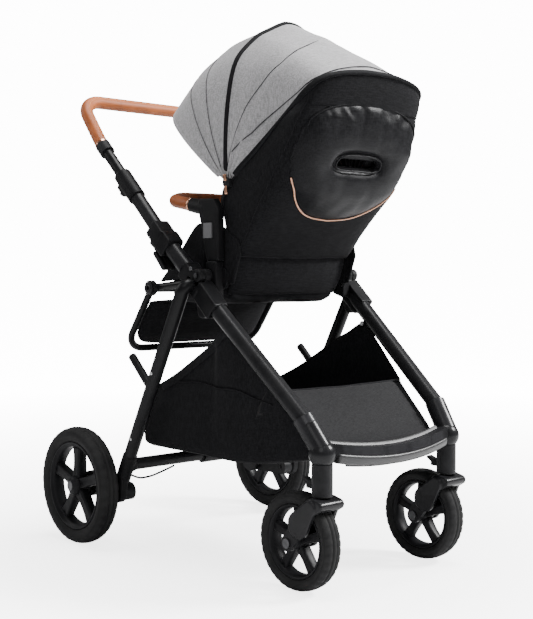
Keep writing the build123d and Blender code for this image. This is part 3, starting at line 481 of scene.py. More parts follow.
def material(name):
    if name in bpy.data.materials:
        return bpy.data.materials[name]
    pattern, dark, light, rough, bump, sockets, sizes = FINISHES[name]
    if name in COLOUR_CHOICES:
        light = tuple(getattr(bpy.context.scene.stroller_colours, COLOUR_CHOICES[name]))
        dark = tuple(c * 0.6 for c in light)
    made = bpy.data.materials.new(name)
    made.use_nodes = True
    tree = made.node_tree
    surface = tree.nodes["Principled BSDF"]
    surface.inputs["Specular IOR Level"].default_value = 0.5 if max(light) > 0.1 else DARK_SHINE[pattern]
    for key, value in sockets.items():
        surface.inputs[key].default_value = value
    effect = shader_node(tree, "ShaderNodeGroup", node_tree=shared(*PATTERNS[pattern]))
    for key, value in sizes.items():
        effect.inputs[key].default_value = value
    shade = effect.outputs[SHADE[pattern]]
    ramp = shader_node(tree, "ShaderNodeMapRange", {"Value": shade, "From Min": 0.3, "From Max": 0.7})
    colour = shader_node(tree, "ShaderNodeMix", {0: ramp.outputs[0], 6: (*dark, 1), 7: (*light, 1)},
                         data_type="RGBA").outputs[2]
    if pattern == "moulded":
        pale = tuple(min(1.0, c * 1.7 + 0.0015) for c in light)
        colour = shader_node(tree, "ShaderNodeMix", {0: effect.outputs["Scuff"], 6: colour, 7: (*pale, 1)},
                             data_type="RGBA").outputs[2]
    if pattern == "weave":
        # Scales the cloth's colour by 0.88 to 1.06 with the broad crease noise: painted crease shade.
        painted_crease_shade = shader_node(tree, "ShaderNodeMapRange",
                           {"Value": effect.outputs["Crease"], "To Min": 0.88, "To Max": 1.06}).outputs[0]
        colour = shader_node(tree, "ShaderNodeVectorMath", {0: colour, "Scale": painted_crease_shade},
                             operation="SCALE").outputs[0]
    tree.links.new(colour, surface.inputs["Base Color"])
    dull = shader_node(tree, "ShaderNodeMapRange", {"Value": shade, "From Min": 0.25, "From Max": 0.75,
                                                    "To Min": rough[0], "To Max": rough[1]})
    tree.links.new(dull.outputs[0], surface.inputs["Roughness"])
    relief = shader_node(tree, "ShaderNodeBump", {"Height": effect.outputs["Height"], "Distance": bump * MM,
                                                  "Strength": 0.8})
    tree.links.new(relief.outputs["Normal"], surface.inputs["Normal"])
    return made


# ---- settings -----------------------------------------------------------------------


class StrollerColours(bpy.types.PropertyGroup):
    canopy_colour: bpy.props.FloatVectorProperty(
        name="Canopy", description="Light yarn of the canopy's melange cloth", subtype="COLOR", size=3,
        min=0.0, max=1.0, default=(0.27, 0.265, 0.272))
    leather_colour: bpy.props.FloatVectorProperty(
        name="Leather", description="Grip and bumper bar leather", subtype="COLOR", size=3,
        min=0.0, max=1.0, default=(0.32, 0.085, 0.021))
    trim_colour: bpy.props.FloatVectorProperty(
        name="Trim metal", description="Rings and zip pull", subtype="COLOR", size=3,
        min=0.0, max=1.0, default=(0.78, 0.42, 0.28))


class StrollerSizes(bpy.types.PropertyGroup):
    zip_width: bpy.props.FloatProperty(
        name="Zip width", description="Width of the canopy's zip flap", subtype="DISTANCE",
        unit="LENGTH", min=0.004, max=0.02, default=0.011)
    hem_width: bpy.props.FloatProperty(
        name="Hem width", description="Width of the binding on the canopy's rear hem", subtype="DISTANCE",
        unit="LENGTH", min=0.006, max=0.03, default=0.016)
    strap_width: bpy.props.FloatProperty(
        name="Harness width", description="Width of the harness webbing", subtype="DISTANCE",
        unit="LENGTH", min=0.015, max=0.04, default=0.025)
    tread_depth: bpy.props.FloatProperty(
        name="Tread depth", description="Depth of the grooves in the tyres", subtype="DISTANCE",
        unit="LENGTH", min=0.0, max=0.004, default=0.0013)
    basket_sag: bpy.props.FloatProperty(
        name="Basket sag", description="How far the basket's floor hangs down in its middle",
        subtype="DISTANCE",
        unit="LENGTH", min=0.0, max=0.02, default=0.007)


# ---- canopy -------------------------------------------------------------------------
PIVOT_X, PIVOT_Z = 365.0, 752.0
# Right half of each rib, seen along its own plane: (distance from the middle, distance from the pivot line).
HEM_RIB = (38.0, [(0, 314), (48, 312), (100, 302), (134, 284), (148, 255), (151, 190), (156, 123),
                  (167, 28), (168, 5)])
ZIP_RIB = (90.4, [(0, 330), (19, 328), (70, 304), (92, 292), (139, 249), (157, 212), (168, 160),
                  (174, 100), (175, 30), (172, 5)])
RIM_RIB = (144.0, [(0, 324), (30, 322), (80, 306), (125, 275), (156, 236), (172, 180), (179, 110),
                   (178, 34), (172, 5)])
ACROSS = 52
REAR_BULGE = 6.0
# Seams of the rear section: (share of the way from the middle to the side, share of the way from zip to hem).
REAR_SEAM = [(0.0, 0.38), (0.18, 0.45), (0.36, 0.52), (0.5, 0.46), (0.62, 0.36), (0.75, 0.29),
             (0.88, 0.21), (0.96, 0.16)]
REAR_PLEAT = [(0.0, 0.86), (0.18, 0.90), (0.32, 0.94), (0.45, 0.92), (0.57, 0.83), (0.73, 0.66),
              (0.82, 0.42), (0.88, 0.2)]


def rib_half(profile, count):
    """The rib's smooth half line, in even steps from the middle to its end at the pivot."""
    ends = [(-profile[1][0], profile[1][1])] + list(profile) + [profile[-1]]
    line = through([Vector((y, r, 0)) for y, r in ends], 8)[8:-8]
    lengths = [0.0]
    for a, b in zip(line, line[1:]):
        lengths.append(lengths[-1] + (b - a).length)
    result, i = [], 0
    for k in range(count):
        want = lengths[-1] * k / (count - 1)
        while i < len(line) - 2 and lengths[i + 1] < want:
            i += 1
        t = (want - lengths[i]) / max(lengths[i + 1] - lengths[i], 1e-9)
        result.append(line[i].lerp(line[i + 1], min(t, 1.0)))
    return result


HALF_LINES = {}


def rib_place(rib, j):
    """Angle, place across and radius of point `j`, from 0 at the right pivot to ACROSS at the left."""
    angle, profile = rib
    if angle not in HALF_LINES:
        HALF_LINES[angle] = rib_half(profile, ACROSS // 2 + 1)
    offset = j - ACROSS / 2
    k = min(int(abs(offset)), ACROSS // 2 - 1)
    p = HALF_LINES[angle][k].lerp(HALF_LINES[angle][k + 1], abs(offset) - k)
    return angle, math.copysign(p.x, offset), p.y


def polar(angle, y, radius):
    a = math.radians(angle)
    return at(PIVOT_X + radius * math.cos(a), y, PIVOT_Z + radius * math.sin(a))


def rear_point(t, j, lift=0.0):
    """A point of the rear section, `t` of the way from the zip to the hem."""
    (a0, y0, r0), (a1, y1, r1) = rib_place(ZIP_RIB, j), rib_place(HEM_RIB, j)
    place = polar(a0, y0, r0).lerp(polar(a1, y1, r1), t)
    high = math.sin(math.pi * min(1.0, max(0.0, j / ACROSS))) ** 0.5
    middle_angle = math.radians(a0 + (a1 - a0) * t)
    rise = REAR_BULGE * math.sin(math.pi * t) * high + lift
    side = Vector((0, y0 / 176.0, 0)) * (0.8 * (1 - high) + 0.2)
    return place + (Vector((math.cos(middle_angle), 0, math.sin(middle_angle))) * high + side) * (rise * MM)


def front_point(t, j, lift=0.0):
    """A point of the front section, `t` of the way from the zip to the front rim."""
    (a0, y0, r0), (a1, y1, r1) = rib_place(ZIP_RIB, j), rib_place(RIM_RIB, j)
    grow = 1 + lift / 320.0
    return polar(a0 + 0.2 + (a1 - a0 - 0.2) * t, (y0 + (y1 - y0) * t) * grow, (r0 + (r1 - r0) * t) * grow)


def canopy_cloth(name, point, seams, depth, steps=34):
    """Cloth between two ribs: it sinks at each seam and creases towards the pivots."""
    rows = []
    for k in range(steps + 1):
        t = k / steps
        row = []
        for j in range(ACROSS + 1):
            share = abs(j / (ACROSS / 2) - 1)
            p = point(t, j)
            hang = 0.0
            for line in seams:
                near = (t - spread(share, line)) / 0.035
                hang -= math.exp(-near * near) * (1.0 if share < 0.9 else 0.3)
            free = math.sin(math.pi * t) ** 0.5
            wrinkle = noise.noise(Vector((t * 4.2, p.y * 7.5, p.z * 4.0))) * 4.5
            gather = math.sin(t * 27 + 3.0 * noise.noise(p * 6)) * max(0.0, share - 0.45) * 6.0
            row.append(point(t, j, hang * depth + (wrinkle + gather) * free))
        rows.append(row)
    obj = grid(name, rows)
    smooth(obj, 1)
    obj.data.materials.append(material("grey melange"))
    outward(obj)
    thicken(obj, 2.2, lining="black cloth")
    apply_modifiers(obj)
    return obj, cut_size(rows)


def canopy_trim(name, centre, inward, width, height, finish, body, groove=0.0):
    """A raised band along the cloth's edge, `width` wide and `height` proud of it."""
    rows = []
    for i, (p, q) in enumerate(zip(centre, inward)):
        run = directions(centre, i)
        around = (q - p).normalized()
        out = around.cross(run).normalized()
        if out.dot(Vector((p.x - at(PIVOT_X, 0, 0).x, p.y * 2.5, p.z - PIVOT_Z * MM))) < 0:
            out = -out
        w, h = width / 2 * MM, height * MM
        row = []
        for side, rise in ((-1.0, -1.2), (-1.0, 0.35), (-0.72, 0.9), (-0.3, 1.0 - groove * 0.2),
                           (0.0, 1.0 - groove),
                           (0.3, 1.0 - groove * 0.2), (0.72, 0.9), (1.0, 0.35), (1.0, -1.2)):
            row.append(p + around * (w * side) + out * (h * rise))
        rows.append(row)
    obj = grid(name, rows, wrap_columns=True)
    cap_ends(obj)
    smooth(obj, 1)
    return dress(obj, finish, body)


# Where the hem's skirt meets the backrest: its row at the top, how many rows it falls towards the pivots and
# from what share of the half width, where it turns the corner and how far round, and its outward bow.
SKIRT_ROW, SKIRT_FALL, SKIRT_BEND, SKIRT_CORNER, SKIRT_TURN, SKIRT_BOW = 7.5, 3.6, 0.55, 0.62, 0.93, 9.0


def hem_skirt():
    """Black cloth that closes the canopy's hem down to the backrest's outer face."""
    rows = []
    half = ACROSS / 2
    for j in range(1, ACROSS):
        share = abs(j - half) / half
        turn = math.copysign(min(1.0, share / SKIRT_CORNER) * SKIRT_TURN, j - half)
        slide = max(0.0, share - SKIRT_BEND) / (1 - SKIRT_BEND)
        low = back_surface(SKIRT_ROW - SKIRT_FALL * slide, turn, 1.5)
        high = rear_point(1.0, j, -1.0)
        row = []
        for k in range(9):
            t = k / 8
            bow = Vector((0.55, 0.25 * (1 if j > half else -1), 0.6)) * (math.sin(math.pi * t)
                                                                         * SKIRT_BOW * MM * (1.1 - share))
            row.append(high.lerp(low, t) + bow)
        rows.append(row)
    obj = grid("canopy_hem_skirt", rows)
    smooth(obj, 1)
    outward(obj)
    thicken(obj, 1.6)
    apply_modifiers(obj)
    return obj


def as_mesh(obj):
    """The same piece as a plain mesh, with its curve and modifiers worked out."""
    graph = bpy.context.evaluated_depsgraph_get()
    name, parts = obj.name, list(obj.data.materials)
    data = bpy.data.meshes.new_from_object(obj.evaluated_get(graph))
    bpy.data.objects.remove(obj)
    data.materials.clear()
    for part in parts:
        data.materials.append(part)
    made = link(name, data)
    smooth(made)
    return made


def folds_with_front(obj):
    """Bakes the piece's placement into its mesh; the piece rides on no body."""
    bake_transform(obj)


class StrollerCanopy(bpy.types.Operator):
    """Builds the canopy's two cloth sections along their ribs, with seams, zip flap and hem"""
    bl_idname = "stroller.canopy"
    bl_label = "Canopy"

    def execute(self, context):
        sizes = context.scene.stroller_sizes
        rear, (width, length, area) = canopy_cloth("canopy_rear_cloth", rear_point,
                                                   (REAR_SEAM, REAR_PLEAT), 2.2)
        dress(rear, "grey melange", "backrest")
        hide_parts("canopy_rear")
        seams = {"middle": [(0.0, 0.36), (0.5, 0.4), (1.0, 0.46)],
                 "front": [(0.0, 0.62), (0.5, 0.66), (1.0, 0.72)]}
        front, (width, length, area) = canopy_cloth("canopy_front_cloth", front_point, seams.values(), 1.6)
        dress(front, "grey melange", None)
        folds_with_front(front)
        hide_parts("canopy_front")
        dress(hem_skirt(), "black cloth", "backrest")
        span = [j / 2 for j in range(2, 2 * ACROSS - 1)]
        canopy_trim("canopy_zip_flap", [rear_point(0.0, j, 0.4) for j in span],
                    [rear_point(0.05, j) for j in span],
                    sizes.zip_width / MM, 3.4, "black webbing", "backrest", groove=0.45)
        canopy_trim("canopy_hem_binding", [rear_point(0.985, j, 0.4) for j in span],
                    [rear_point(0.93, j) for j in span], sizes.hem_width / MM, 3.0, "black cloth", "backrest")
        rim = canopy_trim("canopy_front_binding", [front_point(0.985, j, 0.4) for j in span],
                          [front_point(0.93, j) for j in span], 9, 1.8, "grey melange", None)
        rim = as_mesh(rim)
        dress(rim, "grey melange", None)
        folds_with_front(rim)
        for name, point, line, body, thick in (
                ("canopy_seam_rear", rear_point, REAR_SEAM, "backrest", 0.8),
                ("canopy_pleat_line", rear_point, REAR_PLEAT, "backrest", 1.1),
                ("canopy_seam_middle", front_point, seams["middle"], None, 0.6),
                ("canopy_seam_front", front_point, seams["front"], None, 0.6)):
            reach = line[-1][0] if point is rear_point else 0.93
            steps = [-reach + 2 * reach * k / 60 for k in range(61)]
            seam = cord_curve(name, [point(spread(abs(k), line), (k + 1) * ACROSS / 2, -0.6) for k in steps],
                              thick, "seam thread", body)
            if body is None:
                seam = as_mesh(seam)
                dress(seam, "seam thread", None)
                folds_with_front(seam)
        return {"FINISHED"}


# ---- backrest -----------------------------------------------------------------------
# Each row of the bucket: rear wall (x, z), front edge (x, z), half width.
BACK_ROWS = [
    ((377, 606), (345, 603), 158), ((415, 645), (345, 636), 160), ((455, 682), (338, 680), 163),
    ((485, 708), (326, 712), 165), ((512, 732), (336, 744), 167), ((534, 773), (376, 772), 167),
    ((556, 815), (432, 806), 167), ((570, 866), (500, 862), 162), ((579, 900), (541, 896), 147),
    ((583, 918), (566, 916), 126),
]
BOXINESS = 8.0
CROWN = 8.0
SLOT_Z, SLOT_HALF, SLOT_RISE = 790.0, 58.0, 11.0


def back_row(v):
    i = min(int(v), len(BACK_ROWS) - 2)
    t = v - i
    (ra, fa, wa), (rb, fb, wb) = BACK_ROWS[i], BACK_ROWS[i + 1]
    rear, front = ([a + (b - a) * t for a, b in zip(*ends)] for ends in ((ra, rb), (fa, fb)))
    return rear, front, wa + (wb - wa) * t


def row_of_height(z):
    for i, (a, b) in enumerate(zip(BACK_ROWS, BACK_ROWS[1:])):
        if z <= b[0][1]:
            return i + max(0.0, z - a[0][1]) / (b[0][1] - a[0][1])
    return len(BACK_ROWS) - 1.0


def back_point(v, y, lift=0.0):
    """A point of the backrest's outer face, `y` millimetres from the middle, raised by `lift`."""
    rear, front, half = back_row(v)
    share = min(1.0, abs(y) / half)
    s = share ** (BOXINESS / 2)
    u = max(0.0, 1 - s * s) ** (1 / BOXINESS)
    crown = CROWN * (1 - share * share) + lift
    return at(front[0] + (rear[0] - front[0]) * u + crown * 0.9, y,
              front[1] + (rear[1] - front[1]) * u - crown * 0.42)


def back_surface(v, turn, lift=0.0):
    """The same face by turn, from -1 at the right front edge round to 1 at the left one."""
    angle = turn * math.pi / 2
    half = back_row(v)[2]
    y = math.copysign(half * abs(math.sin(angle)) ** (2 / BOXINESS), angle)
    return back_point(v, y, lift)


def wall_at(y, z, lift=0.0):
    return back_point(row_of_height(z), y, lift)


def backrest_shell():
    rows = []
    turns = [math.copysign(abs(k / 20) ** 0.8, k) for k in range(-20, 21)]
    for k in range(41):
        v = (len(BACK_ROWS) - 1) * k / 40
        row = []
        for turn in turns:
            p = back_surface(v, turn)
            puff = noise.noise(Vector((p.y * 14, p.z * 11, 1.7))) * 2.0 * (1 - abs(turn)) ** 0.5
            row.append(back_point_shift(p, puff))
        rows.append(row)
    obj = grid("backrest_cloth", rows)
    outward(obj)
    return obj


def back_point_shift(p, amount):
    return p + Vector((0.9, 0, -0.42)) * (amount * MM)


def slot_outline(half, rise, lift, count=48, centre=SLOT_Z):
    """A rounded slot on the rear wall, its ends a little lower than its middle."""
    points = []
    for k in range(count):
        a = math.tau * k / count
        y = math.copysign(abs(math.cos(a)) ** 0.55, math.cos(a)) * half
        z = math.copysign(abs(math.sin(a)) ** 0.7, math.sin(a)) * rise
        droop = 3.0 * (y / half) ** 2
        points.append(wall_at(y, centre + z - droop, lift))
    return points


FLAP_RIM = [(0, 684), (50, 688), (88, 699), (124, 722), (147, 754), (157, 790), (157, 825), (146, 855),
            (116, 877),
            (64, 892), (0, 897)]


def flap_outline(count):
    right = [Vector((y, z, 0)) for y, z in FLAP_RIM]
    loop = through(right + [Vector((-p.x, p.y, 0)) for p in reversed(right[:-1])], 6)[:-1]
    total = len(loop)
    return [loop[int(k * total / count)] for k in range(count)]


def pocket_flap(count=96, rings=12):
    """A satin panel on the rear wall with the slot left open in its middle, gathered along its top."""
    outline = flap_outline(count)
    rows = []
    for ring in range(rings + 1):
        t = ring / rings
        row = []
        for p in outline:
            angle = math.atan2((p.y - SLOT_Z) * 2.4, p.x)
            y0 = math.copysign(abs(math.cos(angle)) ** 0.55, math.cos(angle)) * (SLOT_HALF + 2)
            z0 = SLOT_Z + math.copysign(abs(math.sin(angle)) ** 0.7, math.sin(angle)) * (SLOT_RISE + 2) \
                - 3.0 * (y0 / SLOT_HALF) ** 2
            y, z = y0 + (p.x - y0) * t, z0 + (p.y - z0) * t
            lift = 2.0 + 9.0 * math.sin(math.pi * min(1.0, t * 0.92 + 0.10)) ** 0.7
            top = max(0.0, (z - 822) / 40)
            lift += top * 3.2 * math.sin(y * 0.33 + 1.3 * math.sin(y * 0.11)) * t
            lift += 2.4 * noise.noise(Vector((y * 0.03, z * 0.035, 4.2)))
            if t < 0.04:
                lift = -7.0
            elif t < 0.12:
                lift = 3.0
            row.append(wall_at(y, z, lift if t < 0.999 else 0.5))
        rows.append(row)
    obj = grid("backrest_pocket_flap", rows, wrap_columns=True)
    outward(obj)
    thicken(obj, 1.6)
    smooth(obj, 1)
    return obj


class StrollerBackrest(bpy.types.Operator):
    """Builds the backrest's bucket, its satin flap, the piping and the padded lining"""
    bl_idname = "stroller.backrest"
    bl_label = "Backrest"

    def execute(self, context):
        shell = backrest_shell()
        thicken(shell, 11.0)
        smooth(shell, 1)
        cutter = slot_cutter()
        cut = shell.modifiers.new("Slot", "BOOLEAN")
        cut.object = cutter
        cut.operation = "DIFFERENCE"
        cut.solver = "EXACT"
        apply_modifiers(shell)
        bpy.data.objects.remove(cutter)
        smooth(shell)
        dress(shell, "black cloth", "backrest")
        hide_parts("backrest")
        dress(pocket_flap(), "satin cloth", "backrest")
        arc = [wall_at(p.x, p.y, 2.4) for p in flap_outline(96) if p.y < 757]
        arc.sort(key=lambda p: p.y)
        cord_curve("backrest_piping", arc, 1.5, "rose thread", "backrest")
        rim = [wall_at(p.x, p.y, 2.0) for p in flap_outline(96) if p.y > 753]
        rim.sort(key=lambda p: p.y)
        cord_curve("backrest_flap_edge", rim, 1.7, "black webbing", "backrest")
        cord_curve("slot_edge", slot_outline(SLOT_HALF + 3, SLOT_RISE + 3, 4.2), 1.8, "satin cloth",
                   "backrest",
                   cyclic=True)
        for sign, name in ((-1, "right"), (1, "left")):
            edge = [back_surface(k * 0.36, sign * 0.9999) for k in range(1, 25)]
            cord_curve(f"wing_piping_{name}", edge, 2.2, "black webbing", "backrest")
            seam = [back_point(k * 0.36, sign * back_row(k * 0.36)[2] * 0.985, 0.6) for k in range(1, 24)]
            cord_curve(f"wing_seam_{name}", seam, 1.1, "black webbing", "backrest")
        return {"FINISHED"}


def slot_cutter():
    inner = slot_outline(SLOT_HALF, SLOT_RISE, -40.0)
    outer = slot_outline(SLOT_HALF, SLOT_RISE, 30.0)
    obj = grid("slot_cutter", [inner, outer], wrap_columns=True)
    cap_ends(obj)
    return obj


# ---- padded pieces ------------------------------------------------------------------


SWELL_PRESSURE, SWELL_FRAMES = 4.0, 20


def swell(obj, voxel, cap):
    """Blows a closed shape up like a stuffed cover; `cap` is the furthest that a point may move, in mm."""
    remesh = obj.modifiers.new("Voxels", "REMESH")
    remesh.mode = "VOXEL"
    remesh.voxel_size = voxel * MM
    apply_modifiers(obj)
    before = [v.co.copy() for v in obj.data.vertices]
    cloth = obj.modifiers.new("Cloth", "CLOTH")
    cloth.settings.use_pressure = True
    cloth.settings.uniform_pressure_force = SWELL_PRESSURE
    cloth.settings.effector_weights.gravity = 0.0
    cloth.settings.quality = 5
    for number in range(1, SWELL_FRAMES + 1):
        bpy.context.scene.frame_set(number)
    apply_modifiers(obj)
    bpy.context.scene.frame_set(1)
    limit = cap * MM
    for vertex, start in zip(obj.data.vertices, before):
        move = vertex.co - start
        if move.length > limit:
            vertex.co = start + move * (limit / move.length)
    smooth(obj, 1)


def pressed(obj, y_lines, x_lines, depth, width):
    """Presses sewn channels into a pad's top along lines of constant Y or X, given in millimetres."""
    for vertex in obj.data.vertices:
        co, normal = vertex.co, vertex.normal
        gap = min([abs(co.y / MM - y) for y in y_lines] + [abs((co.x - AXLE_X) / MM - x) for x in x_lines])
        if normal.z >= 0.3 and gap < width:
            vertex.co = co - normal * (depth * MM * (1 - (gap / width) ** 2))


def block(name, low, high, radius, segments=3):
    """A closed block with rounded edges, between two corners."""
    bm = bmesh.new()
    bmesh.ops.create_cube(bm, size=1.0)
    centre, size = (low + high) / 2, high - low
    for v in bm.verts:
        v.co = Vector((v.co.x * size.x, v.co.y * size.y, v.co.z * size.z)) + centre
    bmesh.ops.bevel(bm, geom=bm.edges[:], offset=radius * MM, segments=segments, profile=0.6, affect="EDGES")
    data = bpy.data.meshes.new(name)
    bm.to_mesh(data)
    bm.free()
    obj = link(name, data)
    smooth(obj)
    return obj


def plate(name, outline, inner, outer, sign, radius):
    """A closed plate from an outline in X and Z, on one side of the stroller."""
    bm = bmesh.new()
    verts = [bm.verts.new(at(x, sign * inner, z)) for x, z in outline]
    face = bm.faces.new(verts)
    moved = bmesh.ops.extrude_face_region(bm, geom=[face])["geom"]
    for v in [g for g in moved if isinstance(g, bmesh.types.BMVert)]:
        v.co.y = sign * outer * MM
    bmesh.ops.recalc_face_normals(bm, faces=bm.faces)
    bmesh.ops.bevel(bm, geom=bm.edges[:], offset=radius * MM, segments=3, profile=0.6, affect="EDGES")
    data = bpy.data.meshes.new(name)
    bm.to_mesh(data)
    bm.free()
    obj = link(name, data)
    smooth(obj)
    return obj


SEAT_HALF = 150.0
SEAT_FRONT, SEAT_REAR, SEAT_LOW, SEAT_TOP = 143.0, 350.0, 522.0, 572.0
# Side pieces of the seat: outline in (x, z), and their inner and outer face's distance from the middle.
PANEL_OUTLINE, PANEL_FACES = [(150, 558), (296, 570), (306, 664), (284, 672), (262, 664),
                              (205, 606)], (163.5, 175.0)
GUSSET_OUTLINE, GUSSET_FACES = [(318, 548), (372, 556), (392, 612), (386, 640), (340, 668),
                                (318, 640)], (158.0, 164.0)


class StrollerSeat(bpy.types.Operator):
    """Builds the seat cushion, the padded side panels and the cloth that joins them to the backrest"""
    bl_idname = "stroller.seat"
    bl_label = "Seat"

    def execute(self, context):
        seat = block("seat_cushion", at(SEAT_FRONT, -SEAT_HALF, SEAT_LOW),
                     at(SEAT_REAR, SEAT_HALF, SEAT_TOP), 16, 4)
        swell(seat, 6.0, 7.0)
        apply_modifiers(seat)
        pressed(seat, y_lines=(-88, 88), x_lines=(205,), depth=3.5, width=8)
        dress(seat, "black cloth", "chassis")
        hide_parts("seat_pad")
        for name, sign in SIDES:
            panel = plate(f"side_panel_{name}", PANEL_OUTLINE, *PANEL_FACES, sign, 4.5)
            dress(panel, "black cloth", "chassis")
            edge = through([at(150, sign * 169, 560), at(205, sign * 169, 608), at(262, sign * 169, 666),
                            at(284, sign * 169, 674)], 4)
            cord_curve(f"side_panel_piping_{name}", edge, 2.6, "black webbing", "chassis")
        rows = []
        for k in range(9):
            t = k / 8
            bow = math.sin(t * math.pi) * 7
            x = 347 + (375 - 347) * t + bow
            z = 532 + (612 - 532) * t
            rows.append([at(x - 9 * abs(s) ** 5, s * (150 + 8 * t), z)
                         for s in [j / 10 for j in range(-10, 11)]])
        gusset = grid("seat_back_gusset", rows)
        outward(gusset)
        thicken(gusset, 4.0)
        smooth(gusset, 1)
        apply_modifiers(gusset)
        dress(gusset, "black cloth", None)
        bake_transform(gusset)
        for name, sign in SIDES:
            flank = plate(f"side_gusset_{name}", GUSSET_OUTLINE, *GUSSET_FACES, sign, 2.5)
            dress(flank, "black cloth", "chassis")
        under = [at(SEAT_FRONT + 12, 0, SEAT_LOW - 6), at(SEAT_REAR - 8, 0, SEAT_LOW - 6)]
        for y in (-60, 60):
            strap(f"seat_under_strap_{'right' if y < 0 else 'left'}",
                  [under[0].lerp(under[1], k / 6) + Vector((0, y * MM, 0)) for k in range(7)],
                  [Vector((0, 0, -1))] * 7, 25, 1.8, "black webbing", "chassis")
        return {"FINISHED"}


class StrollerHarness(bpy.types.Operator):
    """Builds the five-point harness: webbing, shoulder pads and buckle"""
    bl_idname = "stroller.harness"
    bl_label = "Harness"

    def execute(self, context):
        width = context.scene.stroller_sizes.strap_width / MM
        for name, sign in SIDES:
            points = [wall_at(sign * 52, z, -19.5) for z in (792, 760, 728, 700, 676)]
            points += [at(398, sign * 46, 640), at(360, sign * 38, 612), at(318, sign * 28, 599),
                       at(280, sign * 20, 596), at(256, sign * 14, 597)]
            line = through(points, 4)
            normals = [Vector((-0.85, 0, 0.5))] * len(line)
            web = strap(f"shoulder_strap_{name}", line, normals, width, 1.8, "black webbing", None)
            apply_modifiers(web)
            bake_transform(web)
            pad_line = [p + Vector((-0.8, 0, 0.45)) * 3.5 * MM for p in line[3:19]]
            pad = strap(f"shoulder_pad_{name}", pad_line, [Vector((-0.85, 0, 0.5))] * len(pad_line),
                        52, 9.0, "black cloth", "backrest", levels=2, dome=2.0)
            waist = through([at(338, sign * 132, 588), at(310, sign * 100, 586), at(275, sign * 55, 590),
                             at(250, sign * 22, 596)], 4)
            strap(f"waist_strap_{name}", waist, [Vector((0, 0, 1))] * len(waist), width, 1.8,
                  "black webbing", "chassis")
        crotch = through([at(205, 0, 576), at(214, 0, 590), at(236, 0, 596)], 4)
        strap("crotch_strap", crotch, [Vector((-0.5, 0, 0.85))] * len(crotch), 30, 2.0, "black webbing",
              "chassis")
        buckle = block("harness_buckle", at(226, -24, 592), at(268, 24, 608), 6, 4)
        dress(buckle, "black moulding", "chassis")
        button = block("harness_button", at(238, -9, 600), at(256, 9, 610.5), 3, 3)
        dress(button, "grey moulding", "chassis")
        return {"FINISHED"}


CALF_X, CALF_Z = 130.0, 545.0
CALF_RUN = Vector((-96.0, 0, -132.0)).normalized()
CALF_HALF, CALF_START, CALF_END = 168.0, 33.0, 151.0


class StrollerCalfRest(bpy.types.Operator):
    """Builds the quilted pad inside the calf rest's loop"""
    bl_idname = "stroller.calf_rest"
    bl_label = "Calf rest"

    def execute(self, context):
        face = Vector((-CALF_RUN.z, 0, CALF_RUN.x))
        rows = []
        for k in range(17):
            t = k / 16
            run = CALF_START + (CALF_END - CALF_START) * t
            end = max(0.0, run - (CALF_END - 42))
            half = CALF_HALF - 42 + math.sqrt(max(0.0, 42 ** 2 - end ** 2))
            row = []
            for j in range(48):
                a = math.tau * j / 48
                y = math.copysign(abs(math.cos(a)) ** 0.35, math.cos(a)) * half
                depth = math.copysign(abs(math.sin(a)) ** 0.55, math.sin(a)) * 10.5
                depth *= min(1.0, 0.35 + 2.6 * min(t, 1 - t)) ** 0.7
                for seam in (-62, 62):
                    depth *= 1 - 0.28 * math.exp(-((y - seam) / 6) ** 2)
                row.append(at(CALF_X, y, CALF_Z) + (CALF_RUN * run + face * depth) * MM)
            rows.append(row)
        pad = grid("calf_cushion", rows, wrap_columns=True)
        cap_ends(pad)
        smooth(pad, 1)
        dress(pad, "black cloth", "calf_rest")
        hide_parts("calf_pad")
        for name, sign in SIDES:
            edge = [at(CALF_X, sign * (CALF_HALF - 1), CALF_Z) + CALF_RUN * (CALF_START + 4 + 20 * k)
                    * MM for k in range(5)]
            cord_curve(f"calf_piping_{name}", edge, 2.0, "black webbing", "calf_rest")
            wrap = turned(f"calf_knuckle_{name}", [(5.2, 188.5), (13.0, 188.5), (14.5, 189.6), (12.6, 191.0),
                                                   (8.0, 191.4), (5.2, 191.4)], at(CALF_X, 0, CALF_Z), 48)
            if sign < 0:
                wrap.data.transform(Matrix.Scale(-1, 4, Vector((0, 1, 0))))
                wrap.data.flip_normals()
            dress(wrap, "gloss moulding", "calf_rest")
        return {"FINISHED"}


# ---- leather ------------------------------------------------------------------------
BAR_X, BAR_Z, BAR_RISE, BAR_Y = 262.0, 712.0, 0.18, 171.0
GRIP_Y, GRIP_X, GRIP_Z = 216.0, -85.0, 957.0
GRIP_RADIUS, GRIP_CORNER = 14.0, 50.0


def ring_between(name, start, end, radius, bore, finish, body):
    """A polished ring round a rod that runs from start to end."""
    run = (end - start).normalized()
    length = (end - start).length / MM
    turned_ring = turned(name, [(bore, -length / 2), (radius - 0.6, -length / 2), (radius, -length / 2 + 0.8),
                                (radius, length / 2 - 0.8), (radius - 0.6, length / 2), (bore, length / 2)],
                         Vector((0, 0, 0)), 48)
    rotate = Vector((0, 1, 0)).rotation_difference(run).to_matrix().to_4x4()
    turned_ring.data.transform(Matrix.Translation((start + end) / 2) @ rotate)
    return dress(turned_ring, finish, body)


